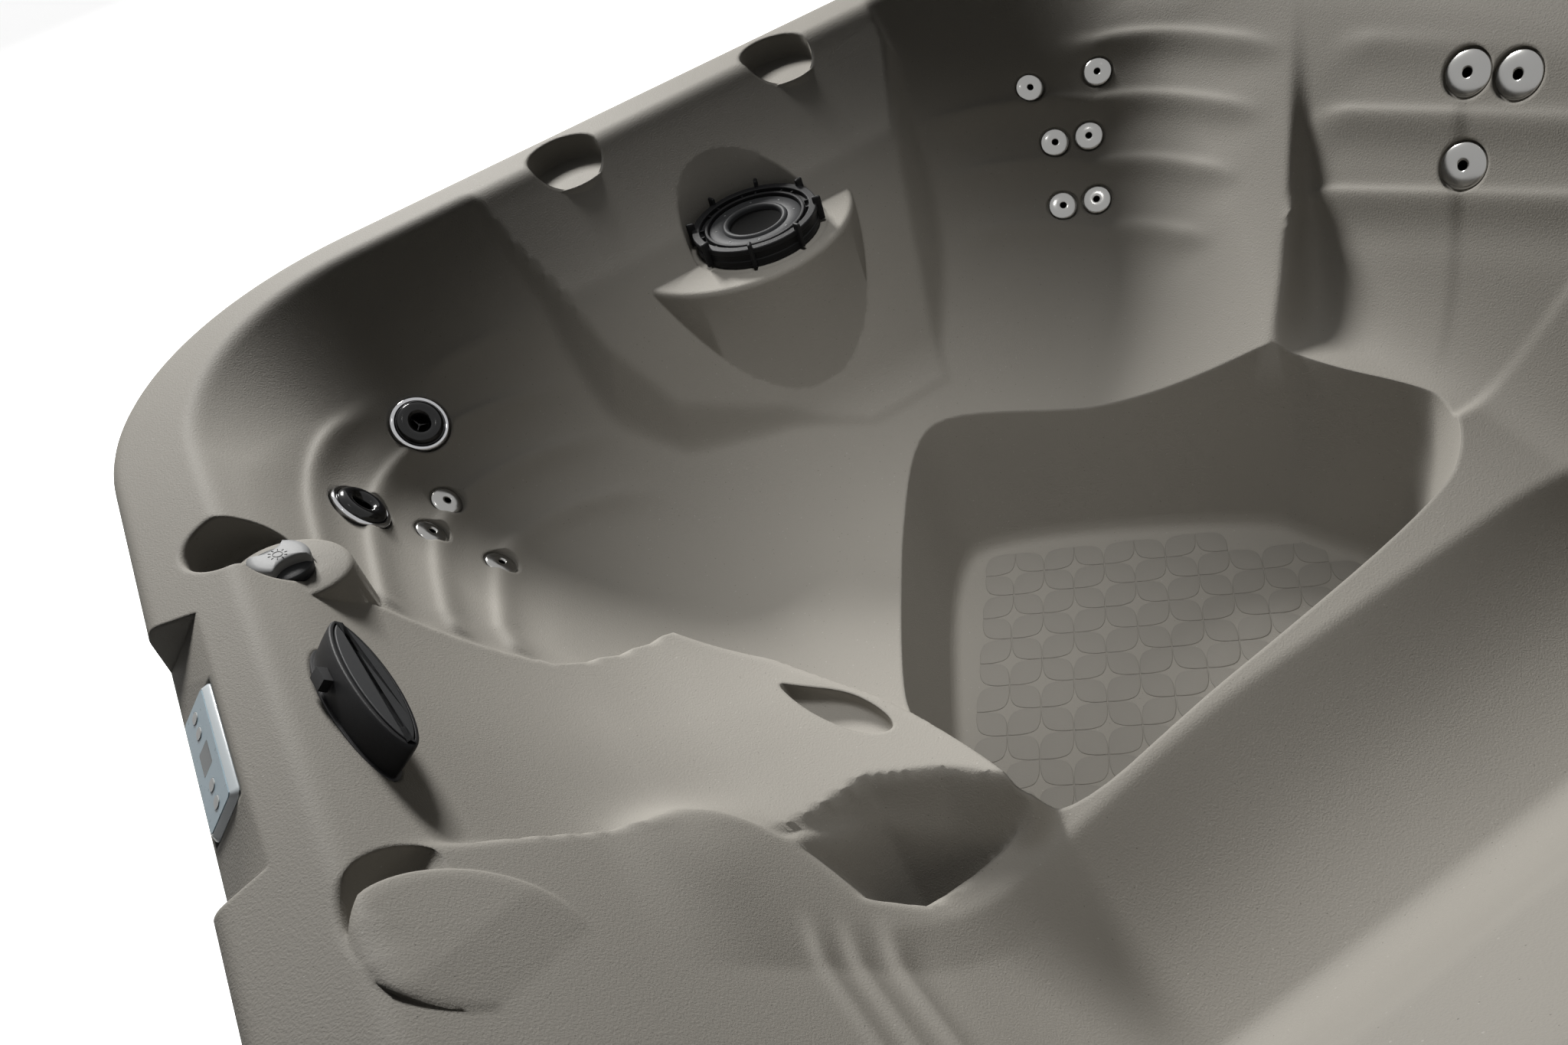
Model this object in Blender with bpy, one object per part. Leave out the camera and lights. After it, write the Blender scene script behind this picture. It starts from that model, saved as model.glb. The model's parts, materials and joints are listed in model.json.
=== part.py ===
"""A one-piece moulded hot tub with its jets, filter, waterfall, controls and equipment bay.

Metres, +Z up. The tub stands on the ground at z = 0 with its middle over the origin.
The panel side faces -Y, the filter side faces -X.
"""
import math

import bmesh
import bpy
import numpy as np
from mathutils import Matrix, Vector

# Overall sizes
WIDTH = 1.90
HALF = WIDTH / 2
RIM_Z = 0.84
WELL_FLOOR_Z = 0.12
CORNER_RADIUS = 0.42
CORNER_POWER = 2.1
GAP = 0.0003
TURN_GAP = 0.0006
OVERRUN = 0.05

# Soft blends between surfaces, measured up and down
BLEND = 0.03
BLEND_SOFT = 0.06
BLEND_WIDE = 0.12

# Rim band that falls inward from the flat top, wider along the Y sides than along the X sides,
# and a long slope over the filter side
RIM_FLAT_Y = 0.108
RIM_FLAT_X = 0.076
SIDE_RIM_FLAT = 0.085
SIDE_RIM_SLOPE = 0.68
RIM_TURN = 0.30
RIM_BLEND = 0.012
RIM_FALL_SLOPE = 0.95
RIM_FALL_END_Z = 0.52

# Corner bucket seats
SEAT_Z = 0.35
BOWL_RUN = 0.52
BOWL_RISE = 0.433
BOWL_POWER = 4.0
BOWL_FOLD_X_SHARE = 0.268
BOWL_FOLD_Y_SHARE = 0.284
SEAT_END_X_SHARE = 0.105
SEAT_END_SLOPE = 1.5

# Back seat
BACK_SEAT_Z = 0.42
WALL_TOP_Z = 0.80
WALL_TOP_SHARE = 0.832
BACK_WALL_SLOPE = 2.2
BACK_SEAT_END_X_SHARE = 0.174
BACK_SEAT_END_SLOPE = 4.0
BACK_SEAT_FRONT_SLOPE = 1.5
BACK_RIDGE_X_SHARE = -0.126
BACK_RIDGE_Y_SHARE = 0.558
BACK_RIDGE_ABOVE_SEAT = 0.03
BACK_RIDGE_ANGLE = math.radians(132.4)
BACK_RIDGE_CLIMB = 1.0
BACK_RIDGE_SLOPE = 2.0

# Lounge along the +X side
LOUNGE_DIP_Z = 0.325
LOUNGE_KNEE_RISE = 0.08
LOUNGE_FOOT_DROP = 0.05
LOUNGE_DIP_Y_SHARE = -0.421
LOUNGE_KNEE_RUN_SHARE = 0.474
LOUNGE_FOOT_Y_SHARE = 0.474
LOUNGE_FOOT_RUN_SHARE = 0.316
LOUNGE_MIDDLE_X_SHARE = 0.526
LOUNGE_DISH_RISE = 0.022
LOUNGE_DISH_RUN = 0.25
LOUNGE_BACK_Z = 0.365
LOUNGE_BACK_Y_SHARE = -0.442
LOUNGE_BACK_SLOPE = 1.2
LOUNGE_SIDE_SLOPE = 2.6
LOUNGE_CROSS_X_SHARE = 0.326
LOUNGE_CROSS_RUN = 0.15
LOUNGE_CROSS_SLOPE = 0.5
LOUNGE_INNER_X_SHARE = 0.105
LOUNGE_INNER_Z = 0.40
LOUNGE_INNER_SLOPE = 2.5

# Filter side shelf, and the round filter housing on it
SHELF_Z = 0.405
LEDGE_Z = 0.68
SIDE_WALL_X_SHARE = -0.663
SIDE_WALL_Z = 0.685
SIDE_WALL_SLOPE = 1.65
HOUSING_X_SHARE = -0.737
HOUSING_Y_SHARE = -0.014
HOUSING_RADIUS = 0.190
HOUSING_SLOPE = 30.0
SIDE_FALL_SLOPE = 2.2
NICHE_BACK_X_SHARE = -0.770
NICHE_Y_SHARE = 0.0
NICHE_HALF = 0.112
NICHE_LEAN = 0.42
NICHE_END_X_SHARE = -0.45
HOUSING_FOOT_DEPTH = 0.30
HOUSING_EDGE = 0.006

# Cool-down seat below the waterfall
COOL_Y_SHARES = (-1.0, -0.879, -0.842, -0.811, -0.737, -0.653, -0.547, -0.421, -0.284, 0.53)
COOL_TOP_Z = 0.83
COOL_EDGE_Z = 0.415
COOL_RISE_SHARES = (1.265, 1.0, 0.904, 0.783, 0.53, 0.325, 0.157, 0.06, 0.0, -0.072)
COOL_SMOOTH_SHARE = 0.016
COOL_DISH_RISE = 0.024
COOL_DISH_RUN = 0.20
COOL_FLAT = 0.05
COOL_FALL_SLOPE = 2.4
HUMP_X_SHARE = 0.190
HUMP_Y_SHARE = -0.605
HUMP_RUN = 0.060
HUMP_RISE = 0.065

# Shoulder that fills the corner between the lounge back and the middle seat
SHOULDER_START = 0.48
SHOULDER_RUN = 0.08
SHOULDER_END_SLOPE = 2.2
SHOULDER_X = 0.36
SHOULDER_SLOPE = 0.26
SHOULDER_END_Y = 0.66
SHOULDER_FADE = 0.10

# Pocket in the cool-down seat edge, with a jet in its back wall
POCKET_Z = 0.400
POCKET_TOP_Z = 0.48
POCKET_WALL_RUN = 0.012
POCKET_FLOOR_SHARE = 0.75
POCKET_SHARES = (
    (-0.068, -0.398), (-0.010, -0.388), (0.040, -0.374), (0.096, -0.352), (0.114, -0.322),
    (0.098, -0.302), (0.055, -0.305), (0.004, -0.322), (-0.045, -0.376))

# Footwell
WELL_EDGE_Z = 0.36
WELL_TOP_Z = 0.52
WELL_FOOT_Z = 0.15
WELL_FOOT_RUN = 0.012
WELL_SLOPE = 6.0
TROUGH_Z = 0.27
TROUGH_SLOPE = 3.0

# Plan outlines as shares of the half width, listed round each region
SIDE_REGION_SHARES = (
    (-1.042, -0.379), (-0.821, -0.347), (-0.642, -0.305), (-0.574, -0.253),
    (-0.547, -0.168), (-0.526, -0.095), (-0.468, 0.021), (-0.469, 0.163),
    (-0.516, 0.184), (-0.668, 0.272), (-0.842, 0.389), (-1.042, 0.442))
COOL_REGION_SHARES = (
    (-0.284, -1.158), (-0.284, -0.895), (-0.221, -0.726), (-0.185, -0.620), (-0.210, -0.470),
    (-0.096, -0.375), (0.045, -0.297), (0.180, -0.252), (0.274, -0.246), (0.196, -0.305),
    (0.150, -0.388), (0.165, -0.450), (0.190, -0.540), (0.190, -0.610), (0.205, -0.700),
    (0.240, -0.790), (0.284, -0.895), (0.284, -1.158))
WELL_SHARES = (
    (-0.400, 0.017), (-0.042, -0.232), (0.063, -0.278), (0.200, -0.246), (0.311, -0.240),
    (0.300, 0.021), (0.259, 0.436), (0.211, 0.526), (0.137, 0.589), (0.084, 0.584),
    (-0.021, 0.547), (-0.114, 0.533), (-0.421, 0.163))
TROUGH_SHARES = (
    (0.272, -0.240), (0.200, -0.310), (0.153, -0.400), (0.216, -0.495), (0.284, -0.484),
    (0.326, -0.421), (0.311, -0.235))

# Cup holders
CUP_X_SHARE = -0.908
CUP_Y_SHARES = (-0.197, 0.213)
CUP_RADIUS = 0.057
CUP_DEPTH = 0.038
CUP_WALL = 0.003
CONE_SLOPE = 2.2
CONE_RADIUS = 0.077

# Knob bosses and their finger recesses, one with the knob and one blank
BOSS_SHARES = ((-0.277, -0.840), (0.344, -0.816))
BOSS_RADII = (0.063, 0.080)
BOSS_TOP_Z = 0.7895
BOSS_TILT = math.radians(16.7)
BOSS_HEIGHT = 0.15
BOSS_RING_SHARES = (1.0, 0.67, 0.34)
BOSS_LIFT = 0.006
BOSS_CLEAR = 0.0008
BOSS_DIVE_SLOPE = 0.085
RECESS_SHARES = ((-0.322, -0.882), (0.314, -0.832))
RECESS_RADIUS = 0.054
RECESS_STRETCHES = ((1.0, 1.0), (1.57, 1.17))
RECESS_DEPTH = 0.065

# Panel notch in the rim
NOTCH_HALF_X = 0.197
NOTCH_Y_SHARE = -0.940
NOTCH_SLOPE = 0.90
NOTCH_END_SLOPE = 3.0

# Shell mesh and skirt
SHELL_CELLS = 36
UNDER_CELLS = 24
WINDOW_SAMPLES = 7
WINDOW_REACH = 1.05
SHELL_WALL = 0.016
SKIRT_WALL = 0.012
EDGE_ROUND = 0.016
WARP_POWER = 4.0
BASE_THICKNESS = 0.03
BASE_INSET = 0.004

# Small jets: face, stem and its bore
JET_FACE_RADIUS = 0.0235
JET_MID_FACE_RADIUS = 0.031
JET_FACE_HEIGHT = 0.007
JET_EDGE = 0.002
JET_STEM_RADIUS = 0.012
JET_STEM_LENGTH = 0.034
JET_HOLE_RADIUS = 0.004
JET_HOLE_DEPTH = 0.012
JET_SINK = 0.004
PAD_MARGIN = 0.003
BORE_CLEARANCE = 0.0006
SMALL_JET_SHARES = {
    "seat1": ((-0.585, -0.636), (-0.515, -0.678), (-0.470, -0.615)),
    "seat2": ((-0.718, 0.581), (-0.658, 0.680), (-0.648, 0.568),
              (-0.617, 0.617), (-0.582, 0.521), (-0.550, 0.568)),
}
MID_JET_SHARES = {"seat3": ((-0.038, 0.813), (0.033, 0.819), (0.006, 0.763))}

# Swirl jets
SWIRL_SHARES = ((-0.693, -0.614), (-0.522, -0.747))
SWIRL_RING_RADIUS = 0.043
SWIRL_RING_HEIGHT = 0.012
SWIRL_FACE_RADIUS = 0.030
SWIRL_BODY_RADIUS = 0.034
SWIRL_BODY_LENGTH = 0.060
SWIRL_BORE_RADIUS = 0.023
SWIRL_STEM_LENGTH = 0.020
SWIRL_DISH = 0.005
SWIRL_EYE_RADIUS = 0.009

# Filter
RING_X_SHARE = -0.674
RING_Y_SHARE = 0.0
RING_RADIUS = 0.098
RING_BORE = 0.072
RING_HEIGHT = 0.028
RING_LUGS = 8
LUG_WIDTH = 0.010
LUG_DEPTH = 0.008
LUG_HEIGHT = 0.014
CANISTER_RADIUS = 0.082
CANISTER_WALL = 0.004
CANISTER_DEPTH = 0.215
FLANGE_RADIUS = 0.095
FLANGE_THICKNESS = 0.004
LEDGE_PAD_DEPTH = 0.002
LEDGE_PAD_RADIUS = 0.108
CARTRIDGE_RADIUS = 0.062
CARTRIDGE_BORE = 0.024
DISC_RADIUS = 0.066
DISC_HOLE = 0.041
DISC_THICKNESS = 0.010
DISC_DROP = 0.004

# Waterfall
FALL_X_SHARE = 0.016
FALL_Y_SHARE = -0.835
FALL_TILT = math.radians(7)
FALL_LENGTH = 0.207
FALL_WIDTH = 0.058
FALL_HEIGHT = 0.038
FALL_PLATE_INSET = 0.006
FALL_PLATE_RECESS = 0.004
FALL_PLATE_HEIGHT = 0.006
FALL_SLIT_LENGTH = 0.130
FALL_SLIT_WIDTH = 0.004
FALL_SLIT_DEPTH = 0.003
FALL_SINK = 0.010
FALL_STEM_RADIUS = 0.020
FALL_STEM_LENGTH = 0.045
FALL_POINTS = 10
CLIP_SIZE = (0.022, 0.010, 0.014)
CLIP_ALONG = 0.025
CLIP_RISE = 0.008

# Diverter knob and its valve
KNOB_RADIUS = 0.0355
KNOB_HEIGHT = 0.026
KNOB_BASE_HEIGHT = 0.010
KNOB_GRIP_WIDTH = 0.030
KNOB_SINK = 0.0015
KNOB_PAD_RADIUS = 0.038
KNOB_SHIFT = 0.010
VALVE_RADIUS = 0.024
VALVE_LENGTH = 0.070
SPINDLE_RADIUS = 0.008
SPINDLE_LENGTH = 0.020

# Control panel
PANEL_LENGTH = 0.178
PANEL_WIDTH = 0.060
PANEL_THICKNESS = 0.009
PANEL_Y_SHARE = -0.972
PANEL_BEVEL = 0.003
PANEL_PLUG_LENGTH = 0.10
PANEL_PLUG_WIDTH = 0.024
PANEL_PLUG_DEPTH = 0.014
OVERLAY_MARGIN = 0.007
OVERLAY_THICKNESS = 0.0012
OVERLAY_RECESS = 0.001
WINDOW_LENGTH = 0.034
WINDOW_WIDTH = 0.020
BUTTON_LENGTH = 0.014
BUTTON_WIDTH = 0.010
BUTTON_HEIGHT = 0.0032
BUTTON_PROUD = 0.0008
BUTTON_ALONG_SHARES = (-0.36, -0.22, 0.22, 0.36)
BUTTON_TRAVEL = 0.0008
BUTTON_CLEARANCE = 0.0005
BUTTON_POCKET = 0.0045

# Suction fitting on the cool-down step
SUCTION_X_SHARE = 0.168
SUCTION_Z = 0.285
SUCTION_Y_SHARE = -0.250
GRILLE_RADIUS = 0.064
GRILLE_HEIGHT = 0.030
GRILLE_WALL = 0.004
SUCTION_BODY_RADIUS = 0.030
SUCTION_BODY_LENGTH = 0.030
SUCTION_TUBE_WALL = 0.005

# Equipment bay behind the door
DOOR_LENGTH_SHARE = 0.68
DOOR_BOTTOM_Z = 0.09
DOOR_HEIGHT = 0.42
DOOR_MARGIN = 0.002
DOOR_INSET = 0.005
LATCH_RADIUS = 0.018
LATCH_HEAD = 0.004
LATCH_SHAFT_RADIUS = 0.006
LATCH_INSET = 0.022
LATCH_CAM_LENGTH = 0.025
LATCH_CAM_WIDTH = 0.012
LATCH_CAM_THICKNESS = 0.004
LATCH_Z_SHARE = 0.72
BAY_Y_SHARE = -0.80
MOTOR_RADIUS = 0.070
MOTOR_LENGTH = 0.230
MOTOR_X = 0.175
PUMP_AXIS_HEIGHT = 0.105
FOOT_WIDTH = 0.110
WET_RADIUS = 0.080
WET_LENGTH = 0.075
PORT_RADIUS = 0.030
PORT_LENGTH = 0.030
PIPE_RADIUS = 0.021
PIPE_BEND = 0.030
PIPE_CLEARANCE = 0.003
PIPE_BURIED_LEGS = 3
BOX_LENGTH = 0.260
BOX_DEPTH = 0.090
BOX_HEIGHT = 0.200
BOX_X = -0.285
LID_THICKNESS = 0.012
HEATER_RADIUS = 0.030
HEATER_LENGTH = 0.240
HEATER_RISE = 0.090
HEATER_SADDLE = 0.026
HEATER_Y_GAP = 0.050
GLAND_RADIUS = 0.011
GLAND_LENGTH = 0.016
DRAIN_X_SHARE = -0.93
DRAIN_Z = 0.075
DRAIN_RADIUS = 0.020
DRAIN_WALL = 0.005
DRAIN_FLANGE = 0.008
DRAIN_BODY_LENGTH = 0.055
DRAIN_CAP_LENGTH = 0.016
DRAIN_CAP_DEPTH = 0.018
SUPPORT_LENGTH_SHARE = 0.24
SUPPORT_WIDTH_SHARE = 0.20
SUPPORT_Y_SHARE = 0.08

# Facets round turned pieces
FINE_SIDES = 20
ROUND_SIDES = 12
BIG_SIDES = 28
BEND_STEPS = 3


def smooth_max(a, b, blend):
    """The higher of two surfaces, with a soft inner corner."""
    near = np.maximum(blend - np.abs(a - b), 0) / blend
    return np.maximum(a, b) + near * near * blend / 4


def smooth_min(a, b, blend):
    """The lower of two surfaces, with a soft outer edge."""
    return -smooth_max(-a, -b, blend)


def ease(t):
    """Goes from 0 to 1 with level ends."""
    t = np.clip(t, 0, 1)
    return t * t * (3 - 2 * t)


def region_distance(x, y, shares):
    """Distance outside a closed plan outline, negative inside it."""
    points = np.array(shares) * HALF
    best = np.full(np.shape(x), WIDTH)
    inside = np.zeros(np.shape(x), bool)
    for (ax, ay), (bx, by) in zip(points, np.roll(points, -1, axis=0)):
        ex, ey = bx - ax, by - ay
        t = np.clip(((x - ax) * ex + (y - ay) * ey) / (ex * ex + ey * ey), 0, 1)
        best = np.minimum(best, np.hypot(x - ax - t * ex, y - ay - t * ey))
        if ay != by:
            inside ^= ((ay > y) != (by > y)) & (x < ex * (y - ay) / ey + ax)
    return np.where(inside, -best, best)


def inset_from_rim(x, y):
    """Distance inward from the outer outline, a square with broad round corners."""
    flat = HALF - CORNER_RADIUS
    qx = np.abs(x) - flat
    qy = np.abs(y) - flat
    a = np.maximum(qx, 0) / CORNER_RADIUS
    b = np.maximum(qy, 0) / CORNER_RADIUS
    outward = (a ** CORNER_POWER + b ** CORNER_POWER) ** (1 / CORNER_POWER)
    return CORNER_RADIUS * (1 - outward) - np.minimum(np.maximum(qx, qy), 0)


def rim_surface(x, y):
    """Band that falls inward from the flat rim and ends above the seats."""
    share = ease((np.abs(y) - np.abs(x) + RIM_TURN) / (2 * RIM_TURN))
    flat = RIM_FLAT_X + (RIM_FLAT_Y - RIM_FLAT_X) * share
    return np.maximum(RIM_Z - RIM_FALL_SLOPE * (inset_from_rim(x, y) - flat), RIM_FALL_END_Z)


def bucket_surface(x, y):
    """The two corner buckets on the filter side, one bowl mirrored across Y = 0."""
    dx = np.maximum(-BOWL_FOLD_X_SHARE * HALF - x, 0) / BOWL_RUN
    dy = np.maximum(np.abs(y) - BOWL_FOLD_Y_SHARE * HALF, 0) / BOWL_RUN
    rise = (dx ** BOWL_POWER + dy ** BOWL_POWER) ** (2 / BOWL_POWER)
    end = SEAT_Z + SEAT_END_SLOPE * (x - SEAT_END_X_SHARE * HALF)
    corner = ease((-y - SHOULDER_START) / SHOULDER_RUN) * np.maximum(x - SEAT_END_X_SHARE * HALF, 0)
    return smooth_max(SEAT_Z + BOWL_RISE * rise, end + SHOULDER_END_SLOPE * corner, BLEND_SOFT)


def wall_surface(distance, slope):
    """A leaning wall whose top edge lies on the inner rim line."""
    return WALL_TOP_Z + slope * (distance - WALL_TOP_SHARE * HALF)


def back_seat_surface(x, y):
    """The middle seat on the +Y side."""
    seat = smooth_max(BACK_SEAT_Z + 0 * x, wall_surface(y, BACK_WALL_SLOPE), BLEND_WIDE)
    px = x - BACK_RIDGE_X_SHARE * HALF
    py = y - BACK_RIDGE_Y_SHARE * HALF
    along = px * math.cos(BACK_RIDGE_ANGLE) + py * math.sin(BACK_RIDGE_ANGLE)
    across = -px * math.sin(BACK_RIDGE_ANGLE) + py * math.cos(BACK_RIDGE_ANGLE)
    ridge = BACK_SEAT_Z + BACK_RIDGE_ABOVE_SEAT + BACK_RIDGE_CLIMB * along + BACK_RIDGE_SLOPE * across
    end = BACK_SEAT_Z + BACK_SEAT_END_SLOPE * (x - BACK_SEAT_END_X_SHARE * HALF)
    surface = smooth_max(smooth_max(seat, ridge, BLEND_SOFT), end, BLEND)
    return smooth_max(surface, BACK_SEAT_Z - BACK_SEAT_FRONT_SLOPE * y, BLEND)


def lounge_surface(x, y):
    """The lounge along the +X side: backrest, hip dip, knee and foot."""
    knee = ease((y - LOUNGE_DIP_Y_SHARE * HALF) / (LOUNGE_KNEE_RUN_SHARE * HALF))
    foot = ease((y - LOUNGE_FOOT_Y_SHARE * HALF) / (LOUNGE_FOOT_RUN_SHARE * HALF))
    dish = ((x - LOUNGE_MIDDLE_X_SHARE * HALF) / LOUNGE_DISH_RUN) ** 2
    seat = LOUNGE_DIP_Z + LOUNGE_KNEE_RISE * knee - LOUNGE_FOOT_DROP * foot + LOUNGE_DISH_RISE * dish
    across = smooth_min(np.maximum(x - LOUNGE_CROSS_X_SHARE * HALF, 0), LOUNGE_CROSS_RUN + 0 * x, BLEND_WIDE)
    seat = seat - LOUNGE_CROSS_SLOPE * across
    back = LOUNGE_BACK_Z + LOUNGE_BACK_SLOPE * (LOUNGE_BACK_Y_SHARE * HALF - y)
    shoulder = SHOULDER_SLOPE * np.maximum(SHOULDER_X - x, 0)
    back = back + shoulder * ease((y + SHOULDER_END_Y) / SHOULDER_FADE)
    surface = smooth_max(seat, back, BLEND_WIDE)
    surface = smooth_max(surface, wall_surface(x, LOUNGE_SIDE_SLOPE), BLEND_WIDE)
    surface = smooth_max(surface, wall_surface(y, BACK_WALL_SLOPE), BLEND_WIDE)
    inner = LOUNGE_INNER_Z + LOUNGE_INNER_SLOPE * (LOUNGE_INNER_X_SHARE * HALF - x)
    return smooth_max(surface, inner, BLEND)


def side_surface(x, y):
    """Filter side: long slope from the rim, leaning wall and the shelf below it."""
    wall = SIDE_WALL_Z - SIDE_WALL_SLOPE * (x - SIDE_WALL_X_SHARE * HALF)
    slope = RIM_Z - SIDE_RIM_SLOPE * (inset_from_rim(x, y) - SIDE_RIM_FLAT)
    surface = smooth_min(slope, wall, BLEND_SOFT)
    surface = smooth_max(surface, SHELF_Z + 0 * x, BLEND_SOFT)
    fall = np.maximum(region_distance(x, y, SIDE_REGION_SHARES), 0)
    return surface - SIDE_FALL_SLOPE * fall


def cool_seat_surface(x, y):
    """Back and seat of the cool-down seat under the waterfall."""
    rise = 0
    for shift in (-2, -1, 0, 1, 2):
        rise = rise + np.interp(y / HALF + shift * COOL_SMOOTH_SHARE, COOL_Y_SHARES, COOL_RISE_SHARES) / 5
    dish = (np.maximum(np.abs(x) - COOL_FLAT, 0) / COOL_DISH_RUN) ** 2
    surface = COOL_EDGE_Z + (COOL_TOP_Z - COOL_EDGE_Z) * rise + COOL_DISH_RISE * dish
    far = np.hypot(x - HUMP_X_SHARE * HALF, y - HUMP_Y_SHARE * HALF) / HUMP_RUN
    surface = surface + HUMP_RISE * np.exp(-far ** 2)
    return surface - COOL_FALL_SLOPE * np.maximum(region_distance(x, y, COOL_REGION_SHARES), 0)


def trough_surface(x, y):
    """Shallow trough between the cool-down seat and the lounge."""
    return TROUGH_Z + TROUGH_SLOPE * (region_distance(x, y, TROUGH_SHARES) + BLEND_WIDE / 2)


def tub_height(x, y):
    """Height of the moulded seats, walls and rim at each plan position."""
    seats = smooth_min(bucket_surface(x, y), back_seat_surface(x, y), BLEND)
    seats = smooth_min(seats, lounge_surface(x, y), BLEND)
    height = smooth_max(seats, cool_seat_surface(x, y), BLEND)
    height = smooth_min(height, trough_surface(x, y), BLEND)
    height = smooth_min(height, rim_surface(x, y), RIM_BLEND)
    height = smooth_max(height, side_surface(x, y), BLEND)
    return smooth_min(height, RIM_Z + 0 * x, RIM_BLEND)


def cleared_height(x, y):
    """Height that the underside has to stay below, footwell and cut features included."""
    well = WELL_EDGE_Z + WELL_SLOPE * region_distance(x, y, WELL_SHARES)
    height = np.minimum(tub_height(x, y), np.maximum(well, WELL_FLOOR_Z))
    for (share_x, share_y), (long, wide) in zip(RECESS_SHARES, RECESS_STRETCHES):
        far = np.hypot((x - share_x * HALF) / long, (y - share_y * HALF) / wide)
        height = np.where(far < RECESS_RADIUS, np.minimum(height, RIM_Z - RECESS_DEPTH), height)
    middle_x = NICHE_BACK_X_SHARE * HALF + NICHE_HALF - NICHE_LEAN * (RIM_Z - LEDGE_Z)
    far = np.hypot(x - middle_x, y - NICHE_Y_SHARE * HALF)
    height = np.where(far < NICHE_HALF, np.minimum(height, LEDGE_Z), height)
    notch = RIM_Z - NOTCH_SLOPE * (NOTCH_Y_SHARE * HALF - y)
    height = np.where(np.abs(x) < NOTCH_HALF_X + OVERRUN, np.minimum(height, notch), height)
    pocket = region_distance(x, y, POCKET_SHARES)
    return np.where(pocket < POCKET_WALL_RUN, np.minimum(height, POCKET_Z), height)


def height_at(x, y):
    """Height of the top surface at one point."""
    return float(tub_height(np.array([x]), np.array([y]))[0])


def clear_scene():
    for item in list(bpy.data.objects):
        bpy.data.objects.remove(item, do_unlink=True)


def material(name, color, roughness, metallic=0.0):
    """A Principled material with the part's colour, roughness and metal value."""
    made = bpy.data.materials.get(name)
    if made is None:
        made = bpy.data.materials.new(name)
        made.use_nodes = True
        shader = made.node_tree.nodes["Principled BSDF"]
        shader.inputs["Base Color"].default_value = (*color, 1.0)
        shader.inputs["Roughness"].default_value = roughness
        shader.inputs["Metallic"].default_value = metallic
    return made


def shell_plastic():
    return material("shell_plastic", (0.235, 0.222, 0.200), 0.55)


def black_plastic():
    return material("black_plastic", (0.015, 0.015, 0.016), 0.35)


def graphite_plastic():
    return material("graphite_plastic", (0.045, 0.046, 0.048), 0.40)


def light_grey_plastic():
    return material("light_grey_plastic", (0.36, 0.37, 0.38), 0.40)


def chrome():
    return material("chrome", (0.80, 0.80, 0.80), 0.08, 1.0)


def steel():
    return material("steel", (0.62, 0.61, 0.59), 0.15, 1.0)


def white_plastic():
    return material("white_plastic", (0.75, 0.76, 0.76), 0.45)


def pale_blue_film():
    return material("pale_blue_film", (0.42, 0.56, 0.64), 0.35)


def display_grey():
    return material("display_grey", (0.10, 0.13, 0.14), 0.15)


def filter_paper():
    return material("filter_paper", (0.70, 0.72, 0.72), 0.80)


def motor_paint():
    return material("motor_paint", (0.06, 0.07, 0.08), 0.45)


def add_object(name, mesh, surface, matrix=Matrix.Identity(4), smooth_angle=35):
    """Puts a mesh in the scene under a part name."""
    mesh.name = name
    mesh.materials.clear()
    mesh.materials.append(surface)
    mesh.shade_smooth()
    mesh.set_sharp_from_angle(angle=math.radians(smooth_angle))
    made = bpy.data.objects.new(name, mesh)
    made.matrix_world = matrix
    bpy.context.scene.collection.objects.link(made)
    return made


def mesh_from(vertices, faces):
    mesh = bpy.data.meshes.new("mesh")
    mesh.from_pydata([tuple(v) for v in vertices], [], [tuple(f) for f in faces])
    form = bmesh.new()
    form.from_mesh(mesh)
    bmesh.ops.recalc_face_normals(form, faces=form.faces)
    form.to_mesh(mesh)
    form.free()
    return mesh


def lathe_mesh(profile, sides):
    """Turned solid round local Z. The closed profile lists (radius, height) pairs."""
    vertices, rows = [], []
    for radius, height in profile:
        if radius == 0:
            rows.append([len(vertices)] * sides)
            vertices.append((0, 0, height))
        else:
            rows.append([len(vertices) + k for k in range(sides)])
            for k in range(sides):
                angle = 2 * math.pi * k / sides
                vertices.append((radius * math.cos(angle), radius * math.sin(angle), height))
    faces = []
    for low, high in zip(rows, rows[1:] + rows[:1]):
        for k in range(sides):
            corners = [low[k], low[(k + 1) % sides], high[(k + 1) % sides], high[k]]
            face = list(dict.fromkeys(corners))
            if len(face) > 2:
                faces.append(face)
    return mesh_from(vertices, faces)


def loft_mesh(rings):
    """Closed solid through rings of equal counts, capped at both ends."""
    count = len(rings[0])
    vertices = [point for ring in rings for point in ring]
    faces = [list(range(count))[::-1], [len(vertices) - count + k for k in range(count)]]
    for start in range(0, len(vertices) - count, count):
        for k in range(count):
            after = start + (k + 1) % count
            faces.append([start + k, after, after + count, start + k + count])
    return mesh_from(vertices, faces)


def prism_mesh(outline, low, high):
    """Upright solid over a plan outline of (x, y) pairs."""
    return loft_mesh([[(x, y, z) for x, y in outline] for z in (low, high)])


def box_mesh(low, high):
    outline = [(low[0], low[1]), (high[0], low[1]), (high[0], high[1]), (low[0], high[1])]
    return prism_mesh(outline, low[2], high[2])


def rounded_rectangle(length, width, radius, steps=3):
    """Plan outline with round corners, centred on the origin."""
    points = []
    for corner, (sx, sy) in enumerate(((1, 1), (-1, 1), (-1, -1), (1, -1))):
        cx = sx * (length / 2 - radius)
        cy = sy * (width / 2 - radius)
        for k in range(steps + 1):
            angle = math.pi / 2 * (corner + k / steps)
            points.append((cx + radius * math.cos(angle), cy + radius * math.sin(angle)))
    return points


def smooth_outline(points):
    """Cuts each corner of a closed outline once."""
    made = []
    for (ax, ay), (bx, by) in zip(points, points[1:] + points[:1]):
        made.append((ax + (bx - ax) / 4, ay + (by - ay) / 4))
        made.append((bx - (bx - ax) / 4, by - (by - ay) / 4))
    return made


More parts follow.
